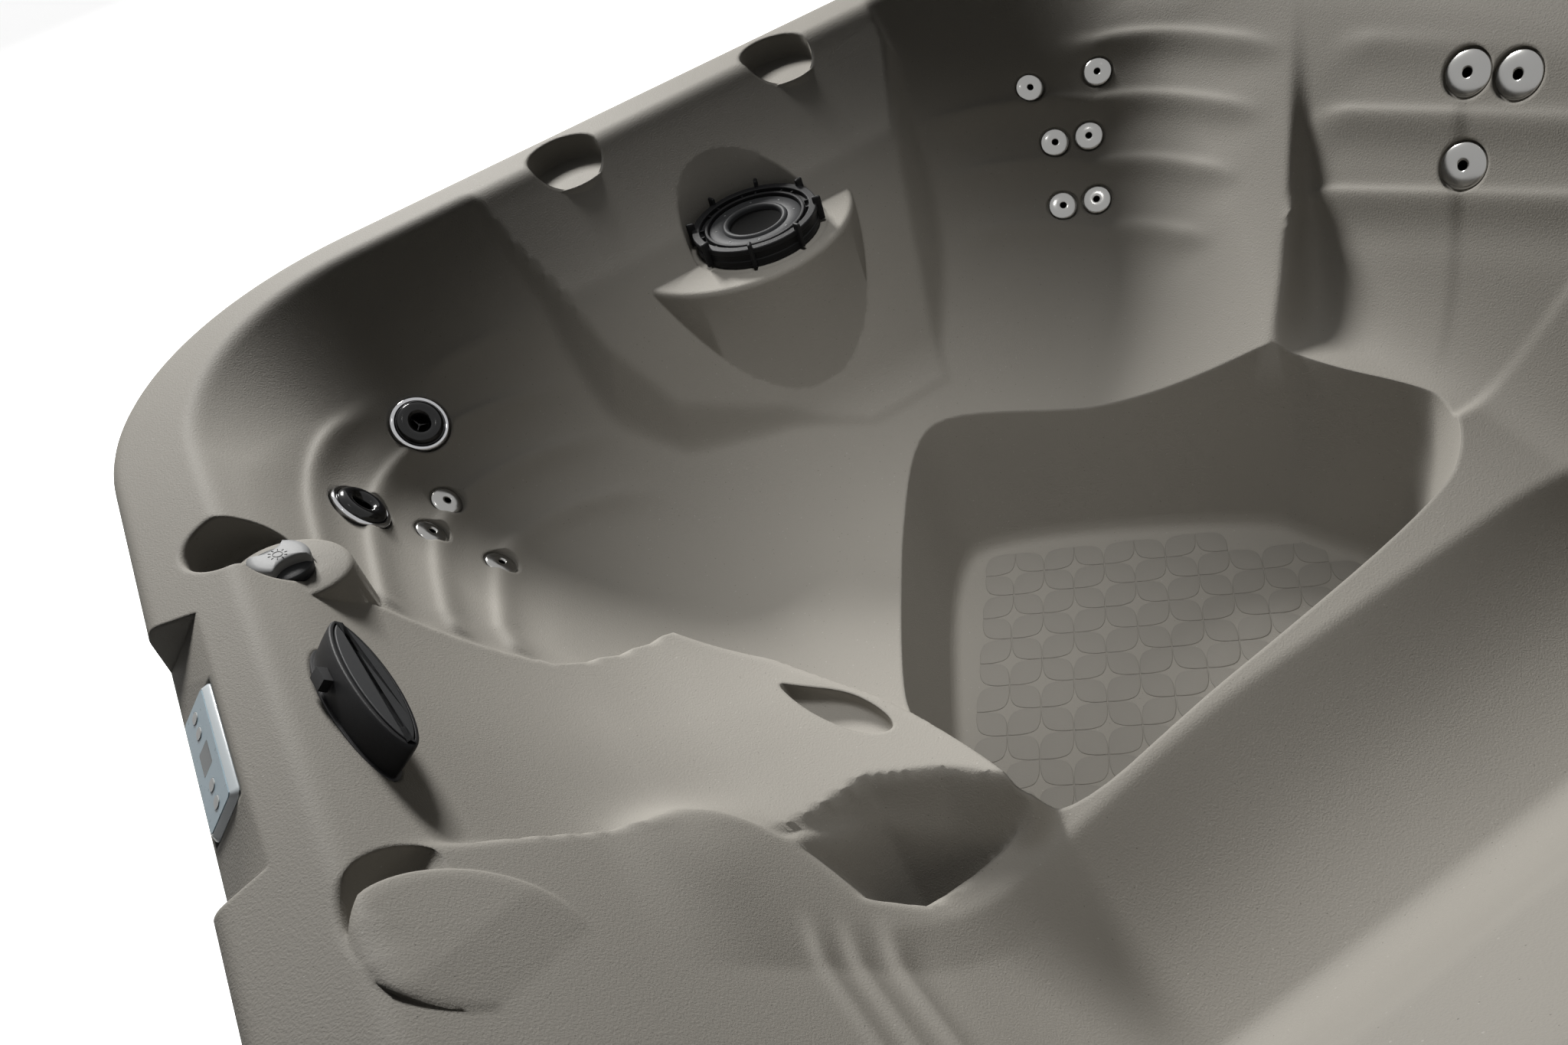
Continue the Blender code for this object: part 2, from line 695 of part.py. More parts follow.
def offset_outline(points, distance):
    """Moves a closed outline, listed anticlockwise, outward by a distance."""
    made = []
    for before, here, after in zip(points[-1:] + points[:-1], points, points[1:] + points[:1]):
        first = (Vector(here) - Vector(before)).normalized()
        second = (Vector(after) - Vector(here)).normalized()
        outward = Vector((first.y + second.y, -first.x - second.x)).normalized()
        scale = distance / outward.dot(Vector((first.y, -first.x)))
        made.append(tuple(Vector(here) + outward * scale))
    return made


def lens_outline(length, width):
    """Long leaf-shaped outline made of two arcs with rounded tips."""
    points = []
    for k in range(2 * FALL_POINTS):
        angle = math.pi * k / FALL_POINTS
        across = math.sin(angle)
        points.append((length / 2 * math.cos(angle), width / 2 * across * abs(across) ** 0.15))
    return points


def rim_outline(inset, sides):
    """Points on the outer outline, moved inward by an inset."""
    points = []
    for k in range(sides):
        edge, part = divmod(k, sides // 4)
        t = 2 * part / (sides // 4) - 1
        u, v = ((1, t), (-t, 1), (-1, -t), (t, -1))[edge]
        points.append(warp(u, v, inset))
    return points


def warp(u, v, inset=0.0):
    """Carries a point of the unit square onto the rounded plan."""
    far = max(abs(u), abs(v))
    if far == 0:
        return (0.0, 0.0)
    du, dv = u / far, v / far
    low, high = 0.0, HALF
    for _ in range(30):
        middle = (low + high) / 2
        if float(inset_from_rim(np.array(du * middle), np.array(dv * middle))) > inset:
            low = middle
        else:
            high = middle
    reach = HALF + (low - HALF) * far ** WARP_POWER
    reach = min(reach, HALF - inset)
    return (du * far * reach, dv * far * reach)


def cutter(name, mesh, matrix=Matrix.Identity(4)):
    """A helper solid that only cuts or joins."""
    made = bpy.data.objects.new(name, mesh)
    made.matrix_world = matrix
    made.hide_render = True
    made.display_type = "WIRE"
    bpy.context.scene.collection.objects.link(made)
    return made


def cut(target, tool, operation="DIFFERENCE"):
    modifier = target.modifiers.new(tool.name, "BOOLEAN")
    modifier.object = tool
    modifier.operation = operation
    modifier.solver = "EXACT"


def frame_on_surface(share_x, share_y, sink):
    """Local frame whose Z leaves the moulded surface, sunk below it by a set depth."""
    x, y = share_x * HALF, share_y * HALF
    reach = JET_STEM_RADIUS
    slope_x = (height_at(x + reach, y) - height_at(x - reach, y)) / (2 * reach)
    slope_y = (height_at(x, y + reach) - height_at(x, y - reach)) / (2 * reach)
    normal = Vector((-slope_x, -slope_y, 1)).normalized()
    place = Vector((x, y, height_at(x, y))) - normal * sink
    return frame_from(place, normal)


def frame_from(place, normal):
    """Frame at a place with Z along the normal and X level."""
    level = Vector((0, 0, 1)).cross(normal)
    level = Vector((1, 0, 0)) if level.length < 1e-6 else level.normalized()
    other = normal.cross(level)
    turn = Matrix((level, other, normal)).transposed().to_4x4()
    return Matrix.Translation(place) @ turn


def shell_grid(cells, inset):
    """Rows of plan points that cover the tub."""
    rows = []
    for i in range(cells + 1):
        rows.append([warp(2 * i / cells - 1, 2 * j / cells - 1, inset) for j in range(cells + 1)])
    return np.array(rows)


def ring_indices(cells):
    """Grid indices round the edge of the grid, in order."""
    last = cells
    ring = [(last, j) for j in range(last)]
    ring += [(i, last) for i in range(last, 0, -1)]
    ring += [(0, j) for j in range(last, 0, -1)]
    ring += [(i, 0) for i in range(last)]
    return ring


def lowest_nearby(points, reach):
    """Lowest top-surface height within a square window of each plan point."""
    lowest = np.full(points.shape[:2], RIM_Z)
    steps = np.linspace(-reach, reach, WINDOW_SAMPLES)
    for dx in steps:
        for dy in steps:
            x = np.clip(points[..., 0] + dx, -HALF, HALF)
            y = np.clip(points[..., 1] + dy, -HALF, HALF)
            lowest = np.minimum(lowest, cleared_height(x, y))
    return lowest


def grid_faces(rows, heights, surface, start, flip):
    """Triangles over a grid, each cell split along the diagonal nearer to the surface."""
    cells = len(rows) - 1
    middle = (rows[:-1, :-1] + rows[1:, 1:] + rows[1:, :-1] + rows[:-1, 1:]) / 4
    target = surface(middle[..., 0], middle[..., 1])
    falling = np.abs((heights[:-1, :-1] + heights[1:, 1:]) / 2 - target)
    rising = np.abs((heights[1:, :-1] + heights[:-1, 1:]) / 2 - target)
    faces = []
    for i in range(cells):
        for j in range(cells):
            a = start + i * (cells + 1) + j
            b = a + cells + 1
            if falling[i, j] < rising[i, j]:
                pair = [(a, b, b + 1), (a, b + 1, a + 1)]
            else:
                pair = [(a, b, a + 1), (b, b + 1, a + 1)]
            faces += [face[::-1] if flip else face for face in pair]
    return faces


def shell_mesh():
    """Top surface, rounded rim edge, skirt and underside as one closed solid."""
    top = shell_grid(SHELL_CELLS, EDGE_ROUND)
    top_z = tub_height(top[..., 0], top[..., 1])
    under = shell_grid(UNDER_CELLS, SKIRT_WALL)
    under_z = lowest_nearby(under, WINDOW_REACH * WIDTH / UNDER_CELLS) - SHELL_WALL
    vertices = [(*p, z) for p, z in zip(top.reshape(-1, 2), top_z.reshape(-1))]
    faces = grid_faces(top, top_z, tub_height, 0, False)
    top_ring = [i * (SHELL_CELLS + 1) + j for i, j in ring_indices(SHELL_CELLS)]
    edge_z = [vertices[k][2] for k in top_ring]
    outline = [warp(2 * i / SHELL_CELLS - 1, 2 * j / SHELL_CELLS - 1) for i, j in ring_indices(SHELL_CELLS)]
    half_turn = math.radians(45)
    part_in = EDGE_ROUND * (1 - math.sin(half_turn))
    part_down = EDGE_ROUND * (1 - math.cos(half_turn))
    middle = [warp(2 * i / SHELL_CELLS - 1, 2 * j / SHELL_CELLS - 1, part_in)
              for i, j in ring_indices(SHELL_CELLS)]
    rings = [top_ring]
    levels = ((middle, [z - part_down for z in edge_z]), (outline, [z - EDGE_ROUND for z in edge_z]),
              (outline, [BASE_THICKNESS + GAP] * len(outline)))
    for points, heights in levels:
        rings.append(list(range(len(vertices), len(vertices) + len(points))))
        vertices += [(*p, z) for p, z in zip(points, heights)]
    for upper, lower in zip(rings, rings[1:]):
        for k in range(len(upper)):
            after = (k + 1) % len(upper)
            faces.append((upper[k], upper[after], lower[after], lower[k]))
    start = len(vertices)
    vertices += [(*p, z) for p, z in zip(under.reshape(-1, 2), under_z.reshape(-1))]
    faces += grid_faces(under, under_z, cleared_height, start, True)
    under_ring = [start + i * (UNDER_CELLS + 1) + j for i, j in ring_indices(UNDER_CELLS)]
    foot = list(range(len(vertices), len(vertices) + len(under_ring)))
    vertices += [(*vertices[k][:2], BASE_THICKNESS + GAP) for k in under_ring]
    for k in range(len(foot)):
        after = (k + 1) % len(foot)
        faces.append((under_ring[k], foot[k], foot[after], under_ring[after]))
    faces += bridge_rings(rings[-1], foot)
    return mesh_from(vertices, faces)


def bridge_rings(outer, inner):
    """Triangles between two rings with unlike counts that start side by side."""
    faces = []
    a = b = 0
    while a < len(outer) or b < len(inner):
        here = (outer[a % len(outer)], inner[b % len(inner)])
        if b >= len(inner) or (a < len(outer) and (a + 1) * len(inner) <= (b + 1) * len(outer)):
            faces.append((here[0], outer[(a + 1) % len(outer)], here[1]))
            a += 1
        else:
            faces.append((here[0], inner[(b + 1) % len(inner)], here[1]))
            b += 1
    return faces


def jet_cutter(name, frame, pad_radius, bore_radius, depth):
    """Flat round seat with a stepped bore behind it."""
    profile = [(0, -depth), (bore_radius, -depth), (bore_radius, 0), (pad_radius, 0),
               (pad_radius, OVERRUN), (0, OVERRUN)]
    return cutter(name, lathe_mesh(profile, FINE_SIDES), frame)


def make_small_jet(shell, name, share, face_radius):
    """Steel face on a stem that turns in its bore."""
    frame = frame_on_surface(*share, JET_SINK)
    depth = JET_STEM_LENGTH + GAP
    bore = JET_STEM_RADIUS + BORE_CLEARANCE
    cut(shell, jet_cutter(name + "_seat", frame, face_radius + PAD_MARGIN, bore, depth))
    crown = JET_FACE_HEIGHT
    profile = [(0, -JET_STEM_LENGTH), (JET_STEM_RADIUS, -JET_STEM_LENGTH), (JET_STEM_RADIUS, GAP),
               (face_radius, GAP), (face_radius, JET_EDGE), (face_radius * 0.62, crown * 0.86),
               (JET_HOLE_RADIUS, crown), (JET_HOLE_RADIUS, crown - JET_HOLE_DEPTH),
               (0, crown - JET_HOLE_DEPTH)]
    return add_object(name, lathe_mesh(profile, ROUND_SIDES), steel(), frame)


def make_swirl_jet(shell, number, share):
    """Body in the wall, a chrome ring that turns and a graphite face that spins in it."""
    name = f"swirl_jet_{number}"
    frame = frame_on_surface(*share, JET_SINK)
    seat = SWIRL_RING_RADIUS + PAD_MARGIN
    bore = SWIRL_BODY_RADIUS + GAP
    cut(shell, jet_cutter(name + "_seat", frame, seat, bore, SWIRL_BODY_LENGTH + GAP))
    body = [(0, -SWIRL_BODY_LENGTH), (SWIRL_BODY_RADIUS, -SWIRL_BODY_LENGTH), (SWIRL_BODY_RADIUS, 0),
            (SWIRL_BORE_RADIUS, 0), (SWIRL_BORE_RADIUS, JET_EDGE - SWIRL_BODY_LENGTH / 2),
            (0, JET_EDGE - SWIRL_BODY_LENGTH / 2)]
    add_object(name + "_body", lathe_mesh(body, FINE_SIDES), graphite_plastic(), frame)
    high = SWIRL_RING_HEIGHT
    hole = SWIRL_FACE_RADIUS + TURN_GAP
    ring = [(hole, GAP), (SWIRL_RING_RADIUS, GAP), (SWIRL_RING_RADIUS, high * 0.35),
            ((hole + SWIRL_RING_RADIUS) / 2, high), (hole, high * 0.75)]
    add_object(name + "_ring", lathe_mesh(ring, FINE_SIDES), chrome(), frame)
    stem = SWIRL_BORE_RADIUS - TURN_GAP
    face = [(0, -SWIRL_STEM_LENGTH), (stem, -SWIRL_STEM_LENGTH), (stem, GAP), (SWIRL_FACE_RADIUS, GAP),
            (SWIRL_FACE_RADIUS, high * 0.7), (SWIRL_EYE_RADIUS, high * 0.7 - SWIRL_DISH),
            (SWIRL_EYE_RADIUS, -SWIRL_STEM_LENGTH / 2), (0, -SWIRL_STEM_LENGTH / 2)]
    add_object(name + "_nozzle", lathe_mesh(face, FINE_SIDES), graphite_plastic(), frame)


def filter_frame(height):
    return Matrix.Translation((RING_X_SHARE * HALF, RING_Y_SHARE * HALF, height))


def make_filter(shell):
    """Canister in the housing, cartridge, weir disc and the lugged lock ring."""
    seat_z = LEDGE_Z - LEDGE_PAD_DEPTH
    well = [(0, -CANISTER_DEPTH - GAP), (CANISTER_RADIUS + GAP, -CANISTER_DEPTH - GAP),
            (CANISTER_RADIUS + GAP, 0), (LEDGE_PAD_RADIUS, 0), (LEDGE_PAD_RADIUS, OVERRUN), (0, OVERRUN)]
    cut(shell, cutter("filter_well", lathe_mesh(well, BIG_SIDES), filter_frame(seat_z)))
    inner = CANISTER_RADIUS - CANISTER_WALL
    top = GAP + FLANGE_THICKNESS
    canister = [(0, -CANISTER_DEPTH), (CANISTER_RADIUS, -CANISTER_DEPTH), (CANISTER_RADIUS, GAP),
                (FLANGE_RADIUS, GAP), (FLANGE_RADIUS, top), (inner, top),
                (inner, CANISTER_WALL - CANISTER_DEPTH), (0, CANISTER_WALL - CANISTER_DEPTH)]
    add_object("filter_canister", lathe_mesh(canister, BIG_SIDES), black_plastic(), filter_frame(seat_z))
    floor = CANISTER_WALL - CANISTER_DEPTH + GAP
    disc_low = top + RING_HEIGHT - DISC_DROP - DISC_THICKNESS
    paper = [(CARTRIDGE_BORE, floor), (CARTRIDGE_RADIUS, floor), (CARTRIDGE_RADIUS, disc_low - GAP),
             (CARTRIDGE_BORE, disc_low - GAP)]
    add_object("filter_cartridge", lathe_mesh(paper, FINE_SIDES), filter_paper(), filter_frame(seat_z))
    disc = [(DISC_HOLE, disc_low), (DISC_RADIUS, disc_low), (DISC_RADIUS, disc_low + DISC_THICKNESS),
            (DISC_HOLE, disc_low + DISC_THICKNESS)]
    add_object("filter_weir_disc", lathe_mesh(disc, FINE_SIDES), black_plastic(), filter_frame(seat_z))
    ring_low = seat_z + top + GAP
    add_object("filter_lock_ring", lock_ring_mesh(), black_plastic(), filter_frame(ring_low))


def lock_ring_mesh():
    """Round ring whose outer wall steps out at each upright lug."""
    sides = 6 * RING_LUGS
    vertices, rows = [], []
    lug_low = RING_HEIGHT - LUG_HEIGHT
    levels = ((RING_BORE, 0, False), (RING_RADIUS, 0, False), (RING_RADIUS, lug_low, False),
              (RING_RADIUS, RING_HEIGHT, True), (RING_BORE, RING_HEIGHT, False))
    for radius, height, has_lugs in levels:
        row = []
        for k in range(sides):
            angle = 2 * math.pi * k / sides
            is_lug = has_lugs and k % 6 in (0, 1)
            reach = radius + (LUG_DEPTH if is_lug else 0)
            rise = height + (LUG_DEPTH if is_lug else 0)
            row.append(len(vertices))
            vertices.append((reach * math.cos(angle), reach * math.sin(angle), rise))
        rows.append(row)
    faces = []
    for low, high in zip(rows, rows[1:] + rows[:1]):
        for k in range(sides):
            after = (k + 1) % sides
            faces.append((low[k], low[after], high[after]))
            faces.append((low[k], high[after], high[k]))
    return mesh_from(vertices, faces)


def make_waterfall(shell):
    """Leaf-shaped spout with its inset plate and a small side clip."""
    frame = frame_on_surface(FALL_X_SHARE, FALL_Y_SHARE, FALL_SINK) @ Matrix.Rotation(FALL_TILT, 4, "Z")
    seat = lens_outline(FALL_LENGTH + PAD_MARGIN, FALL_WIDTH + PAD_MARGIN)
    cut(shell, cutter("fall_seat", prism_mesh(seat, 0, OVERRUN), frame))
    bore = [(0, -FALL_STEM_LENGTH - GAP), (FALL_STEM_RADIUS + GAP, -FALL_STEM_LENGTH - GAP),
            (FALL_STEM_RADIUS + GAP, OVERRUN), (0, OVERRUN)]
    cut(shell, cutter("fall_bore", lathe_mesh(bore, ROUND_SIDES), frame))
    top = FALL_SINK + FALL_HEIGHT
    body = add_object("waterfall_body", prism_mesh(lens_outline(FALL_LENGTH, FALL_WIDTH), GAP, top),
                      black_plastic(), frame)
    stem = [(0, -FALL_STEM_LENGTH), (FALL_STEM_RADIUS, -FALL_STEM_LENGTH), (FALL_STEM_RADIUS, FALL_SINK),
            (0, FALL_SINK)]
    cut(body, cutter("fall_stem", lathe_mesh(stem, ROUND_SIDES), frame), "UNION")
    inset = 2 * FALL_PLATE_INSET
    pocket = lens_outline(FALL_LENGTH - inset, FALL_WIDTH - inset)
    floor = top - FALL_PLATE_RECESS
    cut(body, cutter("fall_pocket", prism_mesh(pocket, floor, top + OVERRUN), frame))
    plate_outline = lens_outline(FALL_LENGTH - inset - 2 * TURN_GAP, FALL_WIDTH - inset - 2 * TURN_GAP)
    high = floor + FALL_PLATE_HEIGHT
    plate = add_object("waterfall_plate", prism_mesh(plate_outline, floor + GAP, high),
                       graphite_plastic(), frame)
    slit = rounded_rectangle(FALL_SLIT_LENGTH, FALL_SLIT_WIDTH, FALL_SLIT_WIDTH / 3, 1)
    cut(plate, cutter("fall_slit", prism_mesh(slit, high - FALL_SLIT_DEPTH, high + OVERRUN), frame))
    side = FALL_WIDTH / 2
    along = CLIP_ALONG
    low = FALL_SINK + CLIP_RISE
    clip = box_mesh((along - CLIP_SIZE[0] / 2, side - FALL_PLATE_INSET / 2, low),
                    (along + CLIP_SIZE[0] / 2, side + CLIP_SIZE[1], low + CLIP_SIZE[2]))
    clip_object = add_object("waterfall_clip", clip, black_plastic(), frame)
    grown = lens_outline(FALL_LENGTH + 2 * GAP, FALL_WIDTH + 2 * GAP)
    cut(clip_object, cutter("clip_fit", prism_mesh(grown, -OVERRUN, top + OVERRUN), frame))


def boss_frame(number):
    """Frame on a boss top that leans into the tub."""
    normal = Vector((0, math.sin(BOSS_TILT), math.cos(BOSS_TILT)))
    share_x, share_y = BOSS_SHARES[number]
    place = Vector((share_x * HALF, share_y * HALF, BOSS_TOP_Z))
    return frame_from(place, normal)


def boss_mesh(number):
    """Upright round boss, in world places: the knob's top leans, the blank one follows the shoulder."""
    share_x, share_y = BOSS_SHARES[number]
    cx, cy = share_x * HALF, share_y * HALF
    radius = BOSS_RADII[number]
    turns = [2 * math.pi * k / FINE_SIDES for k in range(FINE_SIDES)]
    rings = [[(cx + radius * math.cos(angle), cy + radius * math.sin(angle), BOSS_TOP_Z - BOSS_HEIGHT)
              for angle in turns]]
    for share in BOSS_RING_SHARES[:1 + 2 * number]:
        ring = []
        for angle in turns:
            x, y = share * radius * math.cos(angle), share * radius * math.sin(angle)
            z = BOSS_TOP_Z - y * math.tan(BOSS_TILT)
            if number:
                z = float(tub_height(np.array([cx + x]), np.array([cy + y]))[0]) + BOSS_LIFT
                z = min(z - BOSS_DIVE_SLOPE * max(x + y, 0), RIM_Z - BOSS_CLEAR)
            ring.append((cx + x, cy + y, z))
        rings.append(ring)
    return loft_mesh(rings)


def shape_bosses(shell):
    """Finger recess and boss on both sides of the waterfall."""
    for number, label in enumerate(("left", "right")):
        share_x, share_y = RECESS_SHARES[number]
        place = Matrix.Translation((share_x * HALF, share_y * HALF, RIM_Z - RECESS_DEPTH))
        place = place @ Matrix.Diagonal((*RECESS_STRETCHES[number], 1, 1))
        hollow = [(0, 0), (RECESS_RADIUS, 0), (RECESS_RADIUS, RECESS_DEPTH + OVERRUN),
                  (0, RECESS_DEPTH + OVERRUN)]
        cut(shell, cutter(f"recess_{label}", lathe_mesh(hollow, FINE_SIDES), place))
        cut(shell, cutter(f"boss_{label}", boss_mesh(number)), "UNION")


def make_knob(shell):
    """Diverter valve in the boss and the knob on its spindle."""
    frame = boss_frame(0) @ Matrix.Translation((0, KNOB_SHIFT, -KNOB_SINK))
    profile = [(0, -VALVE_LENGTH - GAP), (VALVE_RADIUS + GAP, -VALVE_LENGTH - GAP),
               (VALVE_RADIUS + GAP, 0), (KNOB_PAD_RADIUS, 0), (KNOB_PAD_RADIUS, OVERRUN), (0, OVERRUN)]
    cut(shell, cutter("knob_seat", lathe_mesh(profile, FINE_SIDES), frame))
    hole = SPINDLE_RADIUS + TURN_GAP
    valve = [(0, -VALVE_LENGTH), (VALVE_RADIUS, -VALVE_LENGTH), (VALVE_RADIUS, 0), (hole, 0),
             (hole, -SPINDLE_LENGTH - GAP), (0, -SPINDLE_LENGTH - GAP)]
    add_object("diverter_valve_body", lathe_mesh(valve, FINE_SIDES), graphite_plastic(), frame)
    base = [(0, -SPINDLE_LENGTH), (SPINDLE_RADIUS, -SPINDLE_LENGTH), (SPINDLE_RADIUS, GAP),
            (KNOB_RADIUS, GAP), (KNOB_RADIUS, KNOB_BASE_HEIGHT * 0.8),
            (KNOB_RADIUS * 0.94, KNOB_BASE_HEIGHT), (0, KNOB_BASE_HEIGHT)]
    add_object("diverter_knob", lathe_mesh(base, FINE_SIDES), graphite_plastic(), frame)
    grip = []
    waist = KNOB_GRIP_WIDTH / 2
    for k in range(FINE_SIDES):
        angle = 2 * math.pi * k / FINE_SIDES
        along = KNOB_RADIUS * 0.94 * math.sin(angle)
        width = waist + (KNOB_RADIUS * 0.94 - waist) * (along / KNOB_RADIUS) ** 2
        limit = KNOB_RADIUS * 0.94 * abs(math.cos(angle))
        grip.append((math.copysign(min(width, limit), math.cos(angle)), along))
    mesh = prism_mesh(grip, KNOB_BASE_HEIGHT + GAP, KNOB_HEIGHT)
    add_object("diverter_knob_grip", mesh, light_grey_plastic(), frame)


def panel_frame():
    """Frame on the slanted notch face, Z out of the face and X along the rim."""
    lean = math.atan(NOTCH_SLOPE)
    normal = Vector((0, -math.sin(lean), math.cos(lean)))
    y = PANEL_Y_SHARE * HALF
    place = Vector((0, y, RIM_Z - NOTCH_SLOPE * (NOTCH_Y_SHARE * HALF - y)))
    side = Vector((1, 0, 0))
    turn = Matrix((side, normal.cross(side), normal)).transposed().to_4x4()
    return Matrix.Translation(place - normal * PAD_MARGIN) @ turn


def make_panel(shell):
    """Topside panel: case, film, display and four push buttons."""
    frame = panel_frame()
    seat = rounded_rectangle(PANEL_LENGTH + PAD_MARGIN, PANEL_WIDTH + PAD_MARGIN, PANEL_BEVEL)
    cut(shell, cutter("panel_seat", prism_mesh(seat, 0, OVERRUN), frame))
    plug = rounded_rectangle(PANEL_PLUG_LENGTH + 2 * GAP, PANEL_PLUG_WIDTH + 2 * GAP, PANEL_BEVEL, 1)
    cut(shell, cutter("panel_plug_hole", prism_mesh(plug, -PANEL_PLUG_DEPTH - GAP, OVERRUN), frame))
    top = PANEL_THICKNESS
    case = add_object("panel_case", prism_mesh(rounded_rectangle(PANEL_LENGTH, PANEL_WIDTH, PANEL_BEVEL),
                                               GAP, top), light_grey_plastic(), frame)
    plug = rounded_rectangle(PANEL_PLUG_LENGTH, PANEL_PLUG_WIDTH, PANEL_BEVEL, 1)
    cut(case, cutter("panel_plug", prism_mesh(plug, -PANEL_PLUG_DEPTH, top / 3), frame), "UNION")
    length, width = PANEL_LENGTH - 2 * OVERLAY_MARGIN, PANEL_WIDTH - 2 * OVERLAY_MARGIN
    floor = top - OVERLAY_RECESS
    pocket = rounded_rectangle(length + 2 * GAP, width + 2 * GAP, PANEL_BEVEL, 1)
    cut(case, cutter("film_pocket", prism_mesh(pocket, floor, top + OVERRUN), frame))
    film_low = floor + GAP
    film_high = film_low + OVERLAY_THICKNESS
    film = add_object("panel_film", prism_mesh(rounded_rectangle(length, width, PANEL_BEVEL, 1),
                                               film_low, film_high), pale_blue_film(), frame)
    glass = rounded_rectangle(WINDOW_LENGTH + 2 * GAP, WINDOW_WIDTH + 2 * GAP, PANEL_BEVEL / 2, 1)
    cut(film, cutter("display_hole", prism_mesh(glass, 0, OVERRUN), frame))
    glass = rounded_rectangle(WINDOW_LENGTH, WINDOW_WIDTH, PANEL_BEVEL / 2, 1)
    add_object("panel_display", prism_mesh(glass, film_low, film_high), display_grey(), frame)
    for number, share in enumerate(BUTTON_ALONG_SHARES, 1):
        make_button(case, film, number, share * PANEL_LENGTH, film_high, frame)


def make_button(case, film, number, along, film_high, frame):
    """Oval push button in its pocket."""
    place = frame @ Matrix.Translation((along, 0, 0))
    grown = 2 * BUTTON_CLEARANCE
    round_end = BUTTON_WIDTH / 2.2
    hole = rounded_rectangle(BUTTON_LENGTH + grown, BUTTON_WIDTH + grown, round_end, 3)
    low = film_high + BUTTON_PROUD - BUTTON_HEIGHT
    tool = cutter(f"button_hole_{number}", prism_mesh(hole, low - BUTTON_TRAVEL - GAP, OVERRUN), place)
    cut(case, tool)
    cut(film, tool)
    form = rounded_rectangle(BUTTON_LENGTH, BUTTON_WIDTH, round_end, 3)
    mesh = prism_mesh(form, low, film_high + BUTTON_PROUD)
    add_object(f"panel_button_{number}", mesh, white_plastic(), place)


def make_suction(shell):
    """Domed perforated suction cover and the fitting behind it."""
    normal = Vector((0, 1, 0))
    place = Vector((SUCTION_X_SHARE * HALF, SUCTION_Y_SHARE * HALF, SUCTION_Z))
    frame = frame_from(place, normal)
    cut(shell, jet_cutter("suction_seat", frame, GRILLE_RADIUS + PAD_MARGIN, SUCTION_BODY_RADIUS + GAP,
                          SUCTION_BODY_LENGTH + GAP))
    bore = SUCTION_BODY_RADIUS - SUCTION_TUBE_WALL
    body = [(bore, -SUCTION_BODY_LENGTH), (SUCTION_BODY_RADIUS, -SUCTION_BODY_LENGTH),
            (SUCTION_BODY_RADIUS, 0), (bore, 0)]
    add_object("suction_fitting", lathe_mesh(body, FINE_SIDES), graphite_plastic(), frame)
    wall = GRILLE_WALL
    rows = ((1.0, 0.0), (1.0, 0.25), (0.9, 0.62), (0.68, 0.87), (0.36, 0.98))
    outer = [(GRILLE_RADIUS * r, GAP + GRILLE_HEIGHT * z) for r, z in rows]
    inner = [((GRILLE_RADIUS - wall) * r, GAP + (GRILLE_HEIGHT - wall) * z) for r, z in rows[::-1]]
    profile = outer + [(0, GAP + GRILLE_HEIGHT)] + [(0, GAP + GRILLE_HEIGHT - wall)] + inner
    add_object("suction_grille", lathe_mesh(profile, FINE_SIDES), black_plastic(), frame)


def shape_cups(shell):
    """Two round cup holders sunk in the filter-side rim, each on its own bulge."""
    for number, share in enumerate(CUP_Y_SHARES, 1):
        place = Matrix.Translation((CUP_X_SHARE * HALF, share * HALF, RIM_Z - CUP_DEPTH))
        top = CUP_RADIUS + CUP_WALL
        drop = CONE_SLOPE * (CONE_RADIUS - top)
        cone = [(0, CUP_WALL - drop), (CONE_RADIUS, CUP_WALL - drop), (top, CUP_WALL), (0, CUP_WALL)]
        cut(shell, cutter(f"cup_bulge_{number}", lathe_mesh(cone, FINE_SIDES), place), "UNION")
        hollow = [(0, 0), (CUP_RADIUS, 0), (CUP_RADIUS, CUP_DEPTH + OVERRUN), (0, CUP_DEPTH + OVERRUN)]
        cut(shell, cutter(f"cup_{number}", lathe_mesh(hollow, FINE_SIDES), place))


def shape_housing(shell):
    """Round filter housing on the shelf and the arched niche above it."""
    middle_y = HOUSING_Y_SHARE * HALF
    place = Matrix.Translation((HOUSING_X_SHARE * HALF, middle_y, LEDGE_Z))
    foot = HOUSING_RADIUS + HOUSING_FOOT_DEPTH / HOUSING_SLOPE
    drum = [(0, -HOUSING_FOOT_DEPTH), (foot, -HOUSING_FOOT_DEPTH), (HOUSING_RADIUS, -HOUSING_EDGE),
            (HOUSING_RADIUS - HOUSING_EDGE, 0), (0, 0)]
    cut(shell, cutter("filter_housing", lathe_mesh(drum, BIG_SIDES), place), "UNION")
    middle_y = NICHE_Y_SHARE * HALF
    rings = []
    for height in (LEDGE_Z, RIM_Z + OVERRUN):
        reach = NICHE_HALF
        middle_x = NICHE_BACK_X_SHARE * HALF + reach - NICHE_LEAN * (height - LEDGE_Z)
        ring = [(NICHE_END_X_SHARE * HALF, middle_y + reach, height)]
        for k in range(ROUND_SIDES + 1):
            angle = math.pi * (0.5 + k / ROUND_SIDES)
            ring.append((middle_x + reach * math.cos(angle), middle_y + reach * math.sin(angle), height))
        ring.append((NICHE_END_X_SHARE * HALF, middle_y - reach, height))
        rings.append(ring)
    cut(shell, cutter("filter_niche", loft_mesh(rings)))


